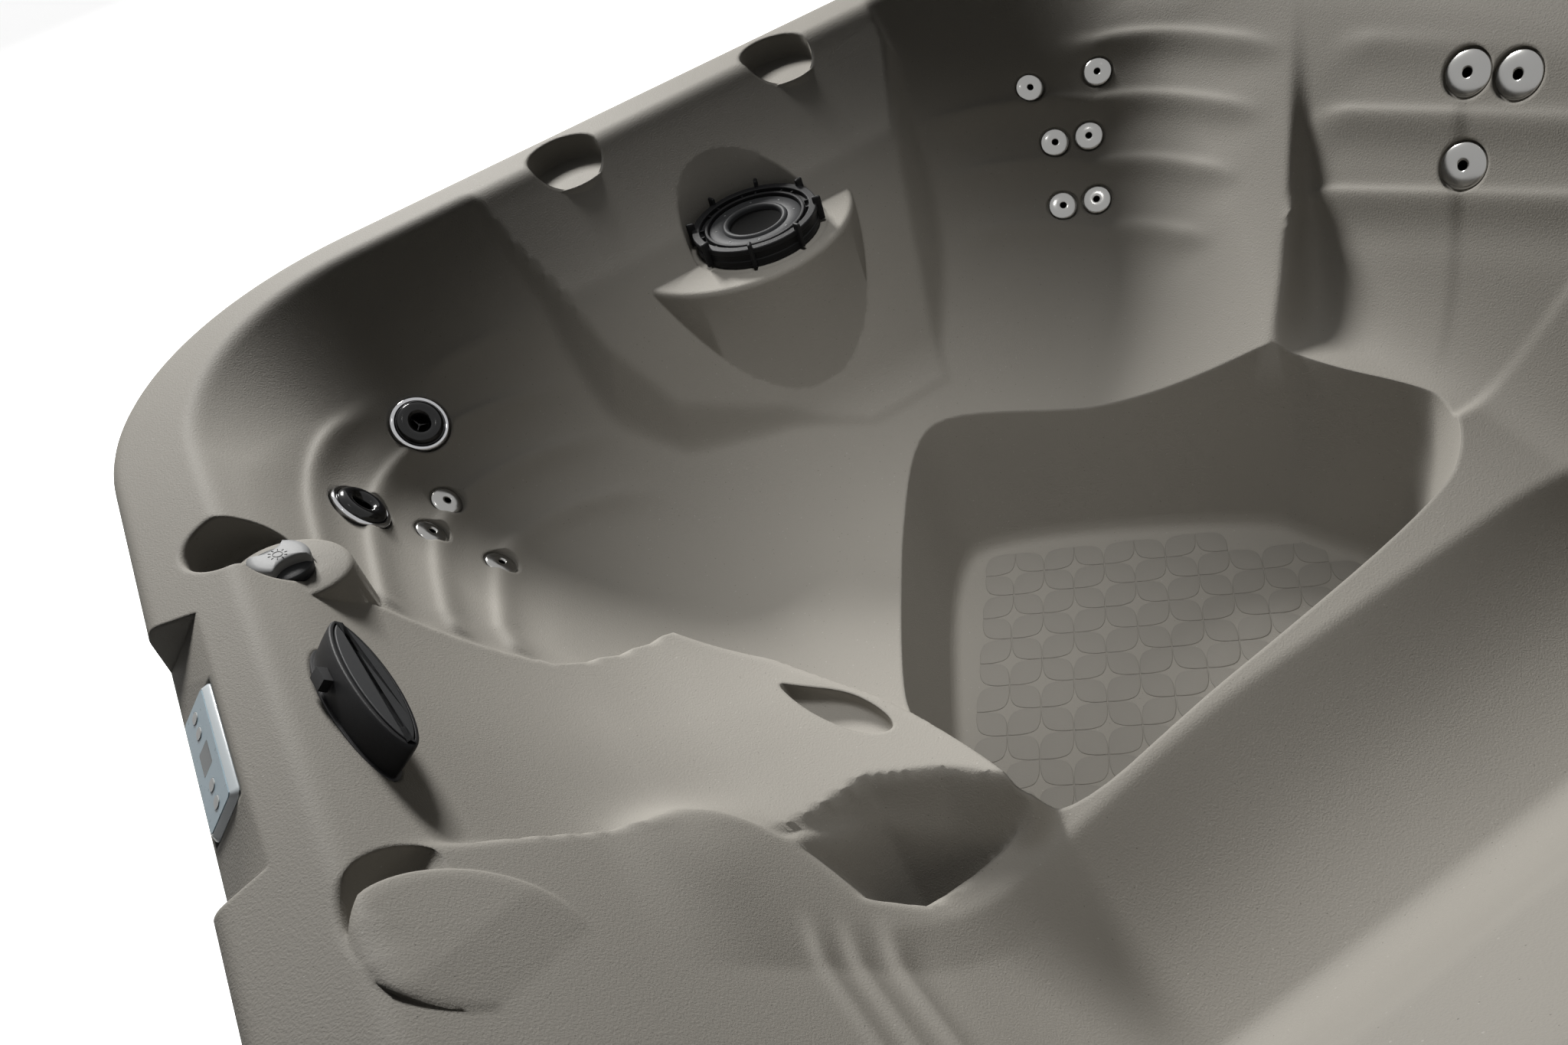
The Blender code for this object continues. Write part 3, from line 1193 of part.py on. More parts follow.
def shape_well(shell):
    """Footwell with steep walls and a chamfered foot."""
    outline = smooth_outline([(x * HALF, y * HALF) for x, y in WELL_SHARES])
    rings = []
    for height in (WELL_FLOOR_Z, WELL_FOOT_Z, WELL_EDGE_Z, WELL_TOP_Z):
        grow = (max(height, WELL_FOOT_Z) - WELL_EDGE_Z) / WELL_SLOPE
        if height < WELL_FOOT_Z:
            grow -= WELL_FOOT_RUN
        rings.append([(x, y, height) for x, y in offset_outline(outline, grow)])
    cut(shell, cutter("footwell", loft_mesh(rings)))


def shape_pocket(shell):
    """Leaf-shaped hollow sunk in the front edge of the cool-down seat."""
    outline = smooth_outline([(x * HALF, y * HALF) for x, y in POCKET_SHARES])
    middle_x, middle_y = np.mean(outline, axis=0)
    low = []
    for x, y in outline:
        low.append((middle_x + POCKET_FLOOR_SHARE * (x - middle_x),
                    middle_y + POCKET_FLOOR_SHARE * (y - middle_y), POCKET_Z))
    rings = [low, [(x, y, POCKET_TOP_Z) for x, y in outline]]
    cut(shell, cutter("cool_seat_pocket", loft_mesh(rings)))


def shape_notch(shell):
    """Slanted seat for the control panel in the front rim."""
    high = RIM_Z + 2 * OVERRUN
    low_ring, high_ring = [], []
    for side, y in ((-1, -HALF - OVERRUN), (1, -HALF - OVERRUN), (1, -HALF + 2 * OVERRUN),
                    (-1, -HALF + 2 * OVERRUN)):
        z = RIM_Z - NOTCH_SLOPE * (NOTCH_Y_SHARE * HALF - y)
        low_ring.append((side * NOTCH_HALF_X, y, z))
        high_ring.append((side * (NOTCH_HALF_X + (high - z) / NOTCH_END_SLOPE), y, high))
    cut(shell, cutter("panel_notch", loft_mesh([low_ring, high_ring])))


def make_door(shell):
    """Lift-off access door in the front skirt with two quarter-turn latches."""
    outer = -HALF
    inner = outer + SKIRT_WALL
    low, high = DOOR_BOTTOM_Z, DOOR_BOTTOM_Z + DOOR_HEIGHT
    half = DOOR_LENGTH_SHARE * (HALF - CORNER_RADIUS)
    opening = box_mesh((-half, outer - OVERRUN, low), (half, inner + OVERRUN / 2, high))
    cut(shell, cutter("door_opening", opening))
    face = outer + DOOR_INSET
    plate = box_mesh((DOOR_MARGIN - half, face, low + GAP), (half - DOOR_MARGIN, inner, high - DOOR_MARGIN))
    door = add_object("access_door", plate, shell_plastic())
    height = low + LATCH_Z_SHARE * DOOR_HEIGHT
    for side, label in ((-1, "left"), (1, "right")):
        place = Matrix.Translation((side * (half - LATCH_INSET), face, height))
        frame = place @ Matrix.Rotation(math.radians(90), 4, "X")
        hole = LATCH_SHAFT_RADIUS + TURN_GAP
        bore = [(0, -OVERRUN), (hole, -OVERRUN), (hole, OVERRUN), (0, OVERRUN)]
        cut(door, cutter(f"latch_hole_{label}", lathe_mesh(bore, ROUND_SIDES), frame))
        back = DOOR_INSET - SKIRT_WALL - GAP
        cam_low = back - LATCH_CAM_THICKNESS
        head = [(0, cam_low), (LATCH_SHAFT_RADIUS, cam_low), (LATCH_SHAFT_RADIUS, GAP),
                (LATCH_RADIUS, GAP), (LATCH_RADIUS, LATCH_HEAD), (0, LATCH_HEAD)]
        latch = add_object(f"door_latch_{label}", lathe_mesh(head, ROUND_SIDES), black_plastic(), frame)
        tail = LATCH_CAM_WIDTH / 2
        reach = side * (LATCH_CAM_LENGTH - tail)
        ends = sorted((-side * tail, reach))
        cam = box_mesh((ends[0], -tail, cam_low), (ends[1], tail, back))
        cut(latch, cutter(f"latch_cam_{label}", cam, frame), "UNION")


def make_base():
    """Flat base tray that closes the shell, and the block under the footwell."""
    add_object("base_pan", prism_mesh(rim_outline(BASE_INSET, 64), 0, BASE_THICKNESS), black_plastic())
    low = BASE_THICKNESS + GAP
    high = WELL_FLOOR_Z - SHELL_WALL - GAP
    middle = SUPPORT_Y_SHARE * HALF
    length, width = SUPPORT_LENGTH_SHARE * HALF, SUPPORT_WIDTH_SHARE * HALF
    block = box_mesh((-length / 2, middle - width / 2, low), (length / 2, middle + width / 2, high))
    add_object("footwell_support", block, black_plastic())


def sweep_mesh(points, radius):
    """Round bar along a route, with flat ends."""
    rings = []
    last = len(points) - 1
    side = (points[1] - points[0]).orthogonal().normalized()
    for number in range(len(points)):
        ahead = (points[min(number + 1, last)] - points[max(number - 1, 0)]).normalized()
        side = (side - ahead * side.dot(ahead)).normalized()
        other = ahead.cross(side)
        ring = []
        for k in range(ROUND_SIDES):
            angle = 2 * math.pi * k / ROUND_SIDES
            ring.append(points[number] + radius * (side * math.cos(angle) + other * math.sin(angle)))
        rings.append(ring)
    return loft_mesh(rings)


def rounded_route(corners, radius):
    """Route with an arc at each inner corner."""
    points = [Vector(corners[0])]
    for before, here, after in zip(corners, corners[1:], corners[2:]):
        here = Vector(here)
        back = (Vector(before) - here).normalized()
        forward = (Vector(after) - here).normalized()
        start, end = here + back * radius, here + forward * radius
        for k in range(BEND_STEPS + 1):
            t = k / BEND_STEPS
            points.append((1 - t) ** 2 * start + 2 * t * (1 - t) * here + t * t * end)
    points.append(Vector(corners[-1]))
    return points


def make_equipment(shell):
    """Pump, heater, control box and the pipes between them, standing on the base tray."""
    ground = BASE_THICKNESS + GAP
    y = BAY_Y_SHARE * HALF
    axis_z = ground + PUMP_AXIS_HEIGHT
    along = Matrix.Rotation(math.radians(90), 4, "Y")
    motor_low = MOTOR_X - MOTOR_LENGTH / 2
    place = Matrix.Translation((motor_low, y, axis_z)) @ along
    can = [(0, 0), (MOTOR_RADIUS, 0), (MOTOR_RADIUS, MOTOR_LENGTH), (0, MOTOR_LENGTH)]
    motor = add_object("pump_motor", lathe_mesh(can, FINE_SIDES), motor_paint(), place)
    foot = box_mesh((MOTOR_X - FOOT_WIDTH / 2, y - FOOT_WIDTH / 2, ground),
                    (MOTOR_X + FOOT_WIDTH / 2, y + FOOT_WIDTH / 2, axis_z - MOTOR_RADIUS / 2))
    cut(motor, cutter("motor_foot", foot), "UNION")
    wet_high = motor_low - GAP
    place = Matrix.Translation((wet_high, y, axis_z)) @ Matrix.Rotation(math.radians(-90), 4, "Y")
    volute = [(0, 0), (WET_RADIUS, 0), (WET_RADIUS, WET_LENGTH), (PORT_RADIUS, WET_LENGTH),
              (PORT_RADIUS, WET_LENGTH + PORT_LENGTH), (0, WET_LENGTH + PORT_LENGTH)]
    wet = add_object("pump_wet_end", lathe_mesh(volute, FINE_SIDES), black_plastic(), place)
    port_x = wet_high - WET_LENGTH / 2
    port_top = axis_z + WET_RADIUS + PORT_LENGTH
    spout = [(0, axis_z), (PORT_RADIUS, axis_z), (PORT_RADIUS, port_top), (0, port_top)]
    cut(wet, cutter("wet_port", lathe_mesh(spout, ROUND_SIDES), Matrix.Translation((port_x, y, 0))), "UNION")
    make_control_box(y, ground)
    make_heater(port_x, y, port_top)
    make_suction_pipe(shell, wet_high - WET_LENGTH - PORT_LENGTH, y, axis_z)


def make_control_box(y, ground):
    """Control box with its lid and the cord inlet gland."""
    half = BOX_LENGTH / 2
    back = y + BOX_DEPTH / 2
    front = back - BOX_DEPTH
    box = box_mesh((BOX_X - half, front, ground), (BOX_X + half, back, ground + BOX_HEIGHT))
    add_object("control_box", box, graphite_plastic())
    lid = box_mesh((BOX_X - half, front - GAP - LID_THICKNESS, ground),
                   (BOX_X + half, front - GAP, ground + BOX_HEIGHT))
    add_object("control_box_lid", lid, black_plastic())
    place = Matrix.Translation((BOX_X - half - GAP, y, ground + BOX_HEIGHT / 2))
    frame = place @ Matrix.Rotation(math.radians(-90), 4, "Y")
    gland = [(0, 0), (GLAND_RADIUS, 0), (GLAND_RADIUS, GLAND_LENGTH), (0, GLAND_LENGTH)]
    add_object("cord_gland", lathe_mesh(gland, ROUND_SIDES), black_plastic(), frame)


def make_heater(port_x, y, port_top):
    """Heater tube on a saddle over the control box, fed from the pump."""
    ground = BASE_THICKNESS + GAP
    centre_z = ground + BOX_HEIGHT + GAP + HEATER_SADDLE + HEATER_RADIUS
    low = BOX_X - HEATER_LENGTH / 2
    frame = Matrix.Translation((low, y, centre_z)) @ Matrix.Rotation(math.radians(90), 4, "Y")
    tube = [(0, 0), (HEATER_RADIUS, 0), (HEATER_RADIUS, HEATER_LENGTH), (0, HEATER_LENGTH)]
    heater = add_object("heater_tube", lathe_mesh(tube, FINE_SIDES), steel(), frame)
    base_z = ground + BOX_HEIGHT + GAP
    for side in (-1, 1):
        x = BOX_X + side * HEATER_LENGTH / 3
        half = HEATER_SADDLE / 2
        saddle = box_mesh((x - half, y - HEATER_RADIUS, base_z), (x + half, y + HEATER_RADIUS, centre_z))
        cut(heater, cutter(f"heater_saddle_{side}", saddle), "UNION")
    start = (port_x, y, port_top + GAP)
    corner = (port_x, y, centre_z)
    end = (low + HEATER_LENGTH + GAP, y, centre_z)
    bend = min(PIPE_RADIUS * 1.6, (centre_z - port_top) * 0.9)
    route = rounded_route([start, corner, end], bend)
    add_object("heater_pipe", sweep_mesh(route, PIPE_RADIUS), white_plastic())


def make_suction_pipe(shell, inlet_x, y, axis_z):
    """Pipe from the suction fitting back to the pump inlet."""
    x = SUCTION_X_SHARE * HALF
    start_y = SUCTION_Y_SHARE * HALF - SUCTION_BODY_LENGTH - GAP
    behind_y = start_y - PIPE_BEND
    turn_y = y + WET_RADIUS + 2 * PIPE_RADIUS
    left_x = inlet_x - 3 * PIPE_RADIUS
    corners = [(x, start_y, SUCTION_Z), (x, behind_y, SUCTION_Z), (left_x, behind_y, SUCTION_Z),
               (left_x, turn_y, SUCTION_Z), (left_x, turn_y, axis_z), (left_x, y, axis_z),
               (inlet_x - GAP, y, axis_z)]
    route = rounded_route(corners, PIPE_BEND * 0.9)
    reach = PIPE_RADIUS + PIPE_CLEARANCE
    for number in range(PIPE_BURIED_LEGS):
        start, end = Vector(corners[number]), Vector(corners[number + 1])
        far = (end - start).length + reach
        leg = [(0, -reach), (reach, -reach), (reach, far), (0, far)]
        frame = frame_from(start, (end - start).normalized())
        cut(shell, cutter(f"pipe_way_{number}", lathe_mesh(leg, ROUND_SIDES), frame))
    add_object("suction_pipe", sweep_mesh(route, PIPE_RADIUS), white_plastic())


def make_drain(shell):
    """Drain outlet set into the front skirt, with its turning cap."""
    x = DRAIN_X_SHARE * (HALF - CORNER_RADIUS)
    place = Matrix.Translation((x, -HALF, DRAIN_Z)) @ Matrix.Rotation(math.radians(90), 4, "X")
    outer = DRAIN_RADIUS + DRAIN_WALL
    reach = outer + GAP
    hole = [(0, -OVERRUN), (reach, -OVERRUN), (reach, OVERRUN), (0, OVERRUN)]
    cut(shell, cutter("drain_hole", lathe_mesh(hole, ROUND_SIDES), place))
    flange = outer + DRAIN_FLANGE
    inner = -SKIRT_WALL - GAP
    bore = DRAIN_RADIUS + 2 * TURN_GAP
    body = [(0, -DRAIN_BODY_LENGTH), (outer, -DRAIN_BODY_LENGTH), (outer, inner - DRAIN_WALL),
            (flange, inner - DRAIN_WALL), (flange, inner), (outer, inner), (outer, -GAP),
            (bore, -GAP), (bore, -DRAIN_CAP_DEPTH), (0, -DRAIN_CAP_DEPTH)]
    add_object("drain_outlet", lathe_mesh(body, ROUND_SIDES), black_plastic(), place)
    low = GAP - DRAIN_CAP_DEPTH
    cap = [(0, low), (DRAIN_RADIUS, low), (DRAIN_RADIUS, low + DRAIN_CAP_LENGTH * 0.85),
           (DRAIN_RADIUS * 0.9, low + DRAIN_CAP_LENGTH), (0, low + DRAIN_CAP_LENGTH)]
    add_object("drain_cap", lathe_mesh(cap, ROUND_SIDES), black_plastic(), place)


def main():
    clear_scene()
    shell = add_object("tub_shell", shell_mesh(), shell_plastic())
    shape_cups(shell)
    shape_housing(shell)
    shape_well(shell)
    shape_pocket(shell)
    shape_notch(shell)
    shape_bosses(shell)
    make_filter(shell)
    make_waterfall(shell)
    make_knob(shell)
    make_panel(shell)
    for number, share in enumerate(SWIRL_SHARES, 1):
        make_swirl_jet(shell, number, share)
    for seat, shares in SMALL_JET_SHARES.items():
        for number, share in enumerate(shares, 1):
            make_small_jet(shell, f"{seat}_jet_{number}", share, JET_FACE_RADIUS)
    for seat, shares in MID_JET_SHARES.items():
        for number, share in enumerate(shares, 1):
            make_small_jet(shell, f"{seat}_jet_{number}", share, JET_MID_FACE_RADIUS)
    make_suction(shell)
    make_door(shell)
    make_base()
    make_equipment(shell)
    make_drain(shell)


if __name__ == "__main__":
    main()
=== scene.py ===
import json
import math

import bmesh
import bpy
import numpy as np
from mathutils import Matrix, Vector


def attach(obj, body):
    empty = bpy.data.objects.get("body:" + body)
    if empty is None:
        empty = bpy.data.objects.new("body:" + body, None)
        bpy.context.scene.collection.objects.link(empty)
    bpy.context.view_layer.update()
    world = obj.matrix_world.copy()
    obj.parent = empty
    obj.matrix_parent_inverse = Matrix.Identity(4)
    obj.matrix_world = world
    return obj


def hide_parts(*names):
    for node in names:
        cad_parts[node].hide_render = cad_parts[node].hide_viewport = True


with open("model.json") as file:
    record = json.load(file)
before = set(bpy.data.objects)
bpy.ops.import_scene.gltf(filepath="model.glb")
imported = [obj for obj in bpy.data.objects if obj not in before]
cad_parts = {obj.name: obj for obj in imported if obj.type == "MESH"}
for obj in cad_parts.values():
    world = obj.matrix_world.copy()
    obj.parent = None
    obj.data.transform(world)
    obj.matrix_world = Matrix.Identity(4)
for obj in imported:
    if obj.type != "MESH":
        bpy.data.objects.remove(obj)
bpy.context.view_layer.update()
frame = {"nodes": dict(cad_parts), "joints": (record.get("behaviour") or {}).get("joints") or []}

# Sizes shared with the solids
HALF = 0.95
RIM_Z = 0.84
CORNER_RADIUS = 0.42
CORNER_POWER = 2.1
GAP = 0.0003
OVERRUN = 0.05
EDGE_ROUND = 0.016
SHELL_WALL = 0.016
SKIRT_WALL = 0.012
BASE_TOP = 0.0303
WELL_FLOOR_Z = 0.12
LEDGE_Z = 0.68

# Soft blends between surfaces, measured up and down
BLEND = 0.03
BLEND_SOFT = 0.06
BLEND_WIDE = 0.12
FINE_BLEND = 0.020

# Rim band, and the long slope over the filter side
RIM_FLAT = 0.076
RIM_FLAT_MORE = 0.032
RIM_TURN = 0.30
RIM_BLEND = 0.012
RIM_FALL_SLOPE = 0.95
RIM_FALL_END_Z = 0.52
SIDE_RIM_FLAT = 0.085
SIDE_RIM_SLOPE = 0.68

# Corner bucket seats, and the shoulder that fills the corner beside the front one
SEAT_Z = 0.35
BOWL_RUN = 0.52
BOWL_RISE = 0.433
BOWL_POWER = 4
BOWL_FOLD_X_SHARE = 0.268
BOWL_FOLD_Y_SHARE = 0.284
SEAT_END_X_SHARE = 0.105
SEAT_END_SLOPE = 1.5
SHOULDER_START = 0.48
SHOULDER_RUN = 0.08
SHOULDER_END_SLOPE = 2.2
SHOULDER_X = 0.36
SHOULDER_SLOPE = 0.26
SHOULDER_END_Y = 0.66
SHOULDER_FADE = 0.10

# Back seat
BACK_SEAT_Z = 0.42
WALL_TOP_Z = 0.80
WALL_TOP_SHARE = 0.832
BACK_WALL_SLOPE = 2.2
BACK_SEAT_END_X_SHARE = 0.174
BACK_SEAT_END_SLOPE = 4.0
BACK_SEAT_FRONT_SLOPE = 1.5
BACK_RIDGE_X_SHARE = -0.126
BACK_RIDGE_Y_SHARE = 0.558
BACK_RIDGE_Z = 0.45
BACK_RIDGE_ANGLE = math.radians(132.4)
BACK_RIDGE_SLOPE = 2.0

# Lounge along the +X side
LOUNGE_DIP_Z = 0.325
LOUNGE_KNEE_RISE = 0.08
LOUNGE_FOOT_DROP = 0.05
LOUNGE_DIP_Y_SHARE = -0.421
LOUNGE_KNEE_RUN_SHARE = 0.474
LOUNGE_FOOT_Y_SHARE = 0.474
LOUNGE_FOOT_RUN_SHARE = 0.316
LOUNGE_MIDDLE_X_SHARE = 0.526
LOUNGE_DISH_RISE = 0.022
LOUNGE_DISH_RUN = 0.25
LOUNGE_CROSS_X = 0.31
LOUNGE_CROSS_RUN = 0.15
LOUNGE_CROSS_SLOPE = 0.5
LOUNGE_BACK_Z = 0.365
LOUNGE_BACK_Y_SHARE = -0.442
LOUNGE_BACK_SLOPE = 1.2
LOUNGE_SIDE_SLOPE = 2.6
LOUNGE_INNER_X_SHARE = 0.105
LOUNGE_INNER_Z = 0.40
LOUNGE_INNER_SLOPE = 2.5

# Filter side
SHELF_Z = 0.405
SIDE_WALL_X_SHARE = -0.663
SIDE_WALL_Z = 0.685
SIDE_WALL_SLOPE = 1.65
SIDE_FALL_SLOPE = 2.2

# Cool-down seat below the waterfall
COOL_Y = (-1.0, -0.879, -0.842, -0.811, -0.737, -0.653, -0.547, -0.421, -0.284, 0.53)
COOL_RISE = (1.265, 1.0, 0.904, 0.783, 0.53, 0.325, 0.157, 0.06, 0.0, -0.072)
COOL_SMOOTH_SHARE = 0.016
COOL_Z = 0.415
COOL_FLAT = 0.05
COOL_DISH_RUN = 0.20
COOL_DISH_RISE = 0.024
COOL_FALL_SLOPE = 2.4
HUMP_X_SHARE = 0.190
HUMP_Y_SHARE = -0.605
HUMP_RUN = 0.060
HUMP_RISE = 0.065

# Footwell, and the trough that leads to it
WELL_TOP_Z = 0.52
WELL_EDGE_Z = 0.36
WELL_FOOT_Z = 0.15
WELL_SLOPE = 6.0
TROUGH_Z = 0.27
TROUGH_SLOPE = 3.0

# Cup holders
CUP_X_SHARE = -0.908
CUP_Y_SHARES = (-0.197, 0.213)
CUP_RADIUS = 0.057
CUP_MOUTH = 0.0605
CUP_DEPTH = 0.038
CUP_WALL = 0.003
CUP_EDGE = 0.002
CUP_CHAMFER = 0.0015
CONE_RADIUS = 0.077
CONE_DROP = 0.0344

# Filter housing, the arched niche above it and the canister's seat
HOUSING_X_SHARE = -0.737
HOUSING_Y_SHARE = -0.014
HOUSING_RADIUS = 0.190
HOUSING_EDGE = 0.008
HOUSING_FOOT_RADIUS = 0.200
HOUSING_FOOT_DEPTH = 0.30
NICHE_BACK_X_SHARE = -0.770
NICHE_END_X_SHARE = -0.45
NICHE_HALF = 0.112
NICHE_LEAN = 0.42
NICHE_MIDDLE_X = -0.685
CANISTER_X_SHARE = -0.674
CANISTER_RADIUS = 0.082
CANISTER_DEPTH = 0.215
LEDGE_PAD_RADIUS = 0.108
LEDGE_PAD_DEPTH = 0.002

# Knob bosses and their finger recesses: the knob's, then the blank one
BOSSES = ((-0.277, -0.840), (0.344, -0.816))
BOSS_RADII = (0.063, 0.080)
BOSS_RING_SHARES = ((), (0.2, 0.4, 0.6, 0.8, 0.98))
BOSS_TOP_Z = 0.7895
BOSS_HEIGHT = 0.15
BOSS_TILT = math.tan(math.radians(16.7))
BLANK_LIFT = 0.006
BLANK_DIVE_SLOPE = 0.085
BLANK_CLEAR = 0.0008
RECESSES = ((-0.322, -0.882), (0.314, -0.832))
RECESS_STRETCH = ((1.0, 1.0), (1.57, 1.17))
RECESS_RADIUS = 0.054
RECESS_DEPTH = 0.065
RECESS_MARGIN = 0.006

# Panel notch in the rim
NOTCH_HALF_X = 0.197
NOTCH_Y_SHARE = -0.940
NOTCH_SLOPE = 0.90
NOTCH_END_SLOPE = 3.0

# Plan outlines as shares of the half width
SIDE_REGION = (
    (-1.042, -0.379), (-0.821, -0.347), (-0.642, -0.305), (-0.574, -0.253),
    (-0.547, -0.168), (-0.526, -0.095), (-0.468, 0.021), (-0.469, 0.163),
    (-0.516, 0.184), (-0.668, 0.272), (-0.842, 0.389), (-1.042, 0.442))
COOL_REGION = (
    (-0.284, -1.158), (-0.284, -0.895), (-0.221, -0.726), (-0.185, -0.620), (-0.210, -0.470),
    (-0.096, -0.375), (0.045, -0.297), (0.180, -0.252), (0.274, -0.246), (0.196, -0.305),
    (0.150, -0.388), (0.165, -0.450), (0.190, -0.540), (0.190, -0.610), (0.205, -0.700),
    (0.240, -0.790), (0.284, -0.895), (0.284, -1.158))
WELL = (
    (-0.400, 0.017), (-0.042, -0.232), (0.063, -0.278), (0.200, -0.246), (0.311, -0.240),
    (0.300, 0.021), (0.259, 0.436), (0.211, 0.526), (0.137, 0.589), (0.084, 0.584),
    (-0.021, 0.547), (-0.114, 0.533), (-0.421, 0.163))
TROUGH = (
    (0.272, -0.240), (0.200, -0.310), (0.153, -0.400), (0.216, -0.495), (0.284, -0.484),
    (0.326, -0.421), (0.311, -0.235))
POCKET = (
    (-0.070, -0.402), (-0.045, -0.378), (0.004, -0.325), (0.055, -0.305), (0.098, -0.302),
    (0.112, -0.318), (0.094, -0.352), (0.040, -0.380), (-0.010, -0.396))
POCKET_Z = 0.400
POCKET_MARGIN = 0.01

# Seat ribs: their heights, and the hollow band below each crest in widths of the crest
FRONT_RIBS = ((0.696, 0.738), (0.614, 0.677), (0.541, 0.606), (0.469, 0.545))
FRONT_RIB_START = 26
FRONT_RIB_SPAN = 56
FRONT_RIB_ENDS = (-0.4, 1.1)
BACK_RIBS = (0.698, 0.623, 0.548, 0.475)
BACK_RIB_TURN = 45
BACK_RIB_CLIMBS = (0.0016, 0.0006)
MIDDLE_RIBS = ((0.785, 0.17), (0.697, 0.20), (0.602, 0.25))
LOUNGE_RIBS = (0.500, 0.462, 0.418)
HOLLOW_SHARE = 0.30
HOLLOW_BELOW = 2.6
HOLLOW_WIDTH = 1.7
SURFACE_MATCH = 0.012
SLOPE_STEP = 0.004

# Shell mesh
UNDER_CELLS = 24
UNDER_DROP = 0.01
WINDOW_SAMPLES = 7
WINDOW_REACH = 1.05
WARP_POWER = 4
HALVINGS = 30
DENSE_WEIGHT = 1.3
DENSE_AT = 0.70
DENSE_WIDTH = 0.19
DENSE_SAMPLES = 2001
EDGE_ANGLES = (15, 30, 45, 60, 75, 90)
SKIRT_LEVELS = (0.6, 0.35, BASE_TOP)
NEAR_ZERO = 1e-9


def smooth_max(a, b, blend):
    """The higher of two surfaces, with a soft inner corner."""
    near = np.maximum(blend - np.abs(a - b), 0) / blend
    return np.maximum(a, b) + near * near * blend / 4


def smooth_min(a, b, blend):
    """The lower of two surfaces, with a soft outer edge."""
    return -smooth_max(-a, -b, blend)


def ease(t):
    """Goes from 0 to 1 with level ends."""
    t = np.clip(t, 0, 1)
    return t * t * (3 - 2 * t)


def fade_in(value, start, run):
    return ease((value - start) / run)


def fade_out(value, end, run):
    return ease((end - value) / run)


def region_distance(x, y, shares):
    """Distance outside a closed plan outline, negative inside it."""
    points = np.array(shares) * HALF
    best = np.full(np.shape(x), 2 * HALF)
    inside = np.zeros(np.shape(x), bool)
    for (ax, ay), (bx, by) in zip(points, np.roll(points, -1, axis=0)):
        ex, ey = bx - ax, by - ay
        t = np.clip(((x - ax) * ex + (y - ay) * ey) / (ex * ex + ey * ey), 0, 1)
        best = np.minimum(best, np.hypot(x - ax - t * ex, y - ay - t * ey))
        if ay != by:
            inside ^= ((ay > y) != (by > y)) & (x < ex * (y - ay) / ey + ax)
    return np.where(inside, -best, best)


def scaled(shares):
    """Places in metres from shares of the half width."""
    return [(x * HALF, y * HALF) for x, y in shares]


def rounded_shares(shares, rounds):
    """Cuts the corners of a plan outline."""
    points = [tuple(p) for p in shares]
    for _ in range(rounds):
        made = []
        for (ax, ay), (bx, by) in zip(points, points[1:] + points[:1]):
            for t in (0.25, 0.75):
                made.append((ax + (bx - ax) * t, ay + (by - ay) * t))
        points = made
    return points


def inset_from_rim(x, y):
    """Distance inward from the outer outline, a square with broad round corners."""
    flat = HALF - CORNER_RADIUS
    qx = np.abs(x) - flat
    qy = np.abs(y) - flat
    a = np.maximum(qx, 0) / CORNER_RADIUS
    b = np.maximum(qy, 0) / CORNER_RADIUS
    outward = (a ** CORNER_POWER + b ** CORNER_POWER) ** (1 / CORNER_POWER)
    return CORNER_RADIUS * (1 - outward) - np.minimum(np.maximum(qx, qy), 0)


def rim_surface(x, y):
    """Band that falls inward from the flat rim."""
    share = ease((np.abs(y) - np.abs(x) + RIM_TURN) / (2 * RIM_TURN))
    flat = RIM_FLAT + RIM_FLAT_MORE * share
    return np.maximum(RIM_Z - RIM_FALL_SLOPE * (inset_from_rim(x, y) - flat), RIM_FALL_END_Z)


def bowl_reach(x, y):
    """How far a place lies past the two folds of a corner bucket."""
    return (np.maximum(-BOWL_FOLD_X_SHARE * HALF - x, 0),
            np.maximum(np.abs(y) - BOWL_FOLD_Y_SHARE * HALF, 0))


def bucket_surface(x, y):
    """The two corner buckets on the filter side, one bowl mirrored across Y = 0."""
    dx, dy = bowl_reach(x, y)
    rise = ((dx / BOWL_RUN) ** BOWL_POWER + (dy / BOWL_RUN) ** BOWL_POWER) ** (2 / BOWL_POWER)
    past = x - SEAT_END_X_SHARE * HALF
    corner = ease((-y - SHOULDER_START) / SHOULDER_RUN) * np.maximum(past, 0)
    end = SEAT_Z + SEAT_END_SLOPE * past + SHOULDER_END_SLOPE * corner
    return smooth_max(SEAT_Z + BOWL_RISE * rise, end, BLEND_SOFT)


def wall_surface(distance, slope):
    """A leaning wall whose top edge lies on the inner rim line."""
    return WALL_TOP_Z + slope * (distance - WALL_TOP_SHARE * HALF)


def back_seat_surface(x, y):
    """The middle seat on the +Y side."""
    seat = smooth_max(BACK_SEAT_Z + 0 * x, wall_surface(y, BACK_WALL_SLOPE), BLEND_WIDE)
    px = x - BACK_RIDGE_X_SHARE * HALF
    py = y - BACK_RIDGE_Y_SHARE * HALF
    along = px * math.cos(BACK_RIDGE_ANGLE) + py * math.sin(BACK_RIDGE_ANGLE)
    across = -px * math.sin(BACK_RIDGE_ANGLE) + py * math.cos(BACK_RIDGE_ANGLE)
    ridge = BACK_RIDGE_Z + along + BACK_RIDGE_SLOPE * across
    end = BACK_SEAT_Z + BACK_SEAT_END_SLOPE * (x - BACK_SEAT_END_X_SHARE * HALF)
    surface = smooth_max(smooth_max(seat, ridge, BLEND_SOFT), end, BLEND)
    return smooth_max(surface, BACK_SEAT_Z - BACK_SEAT_FRONT_SLOPE * y, BLEND)


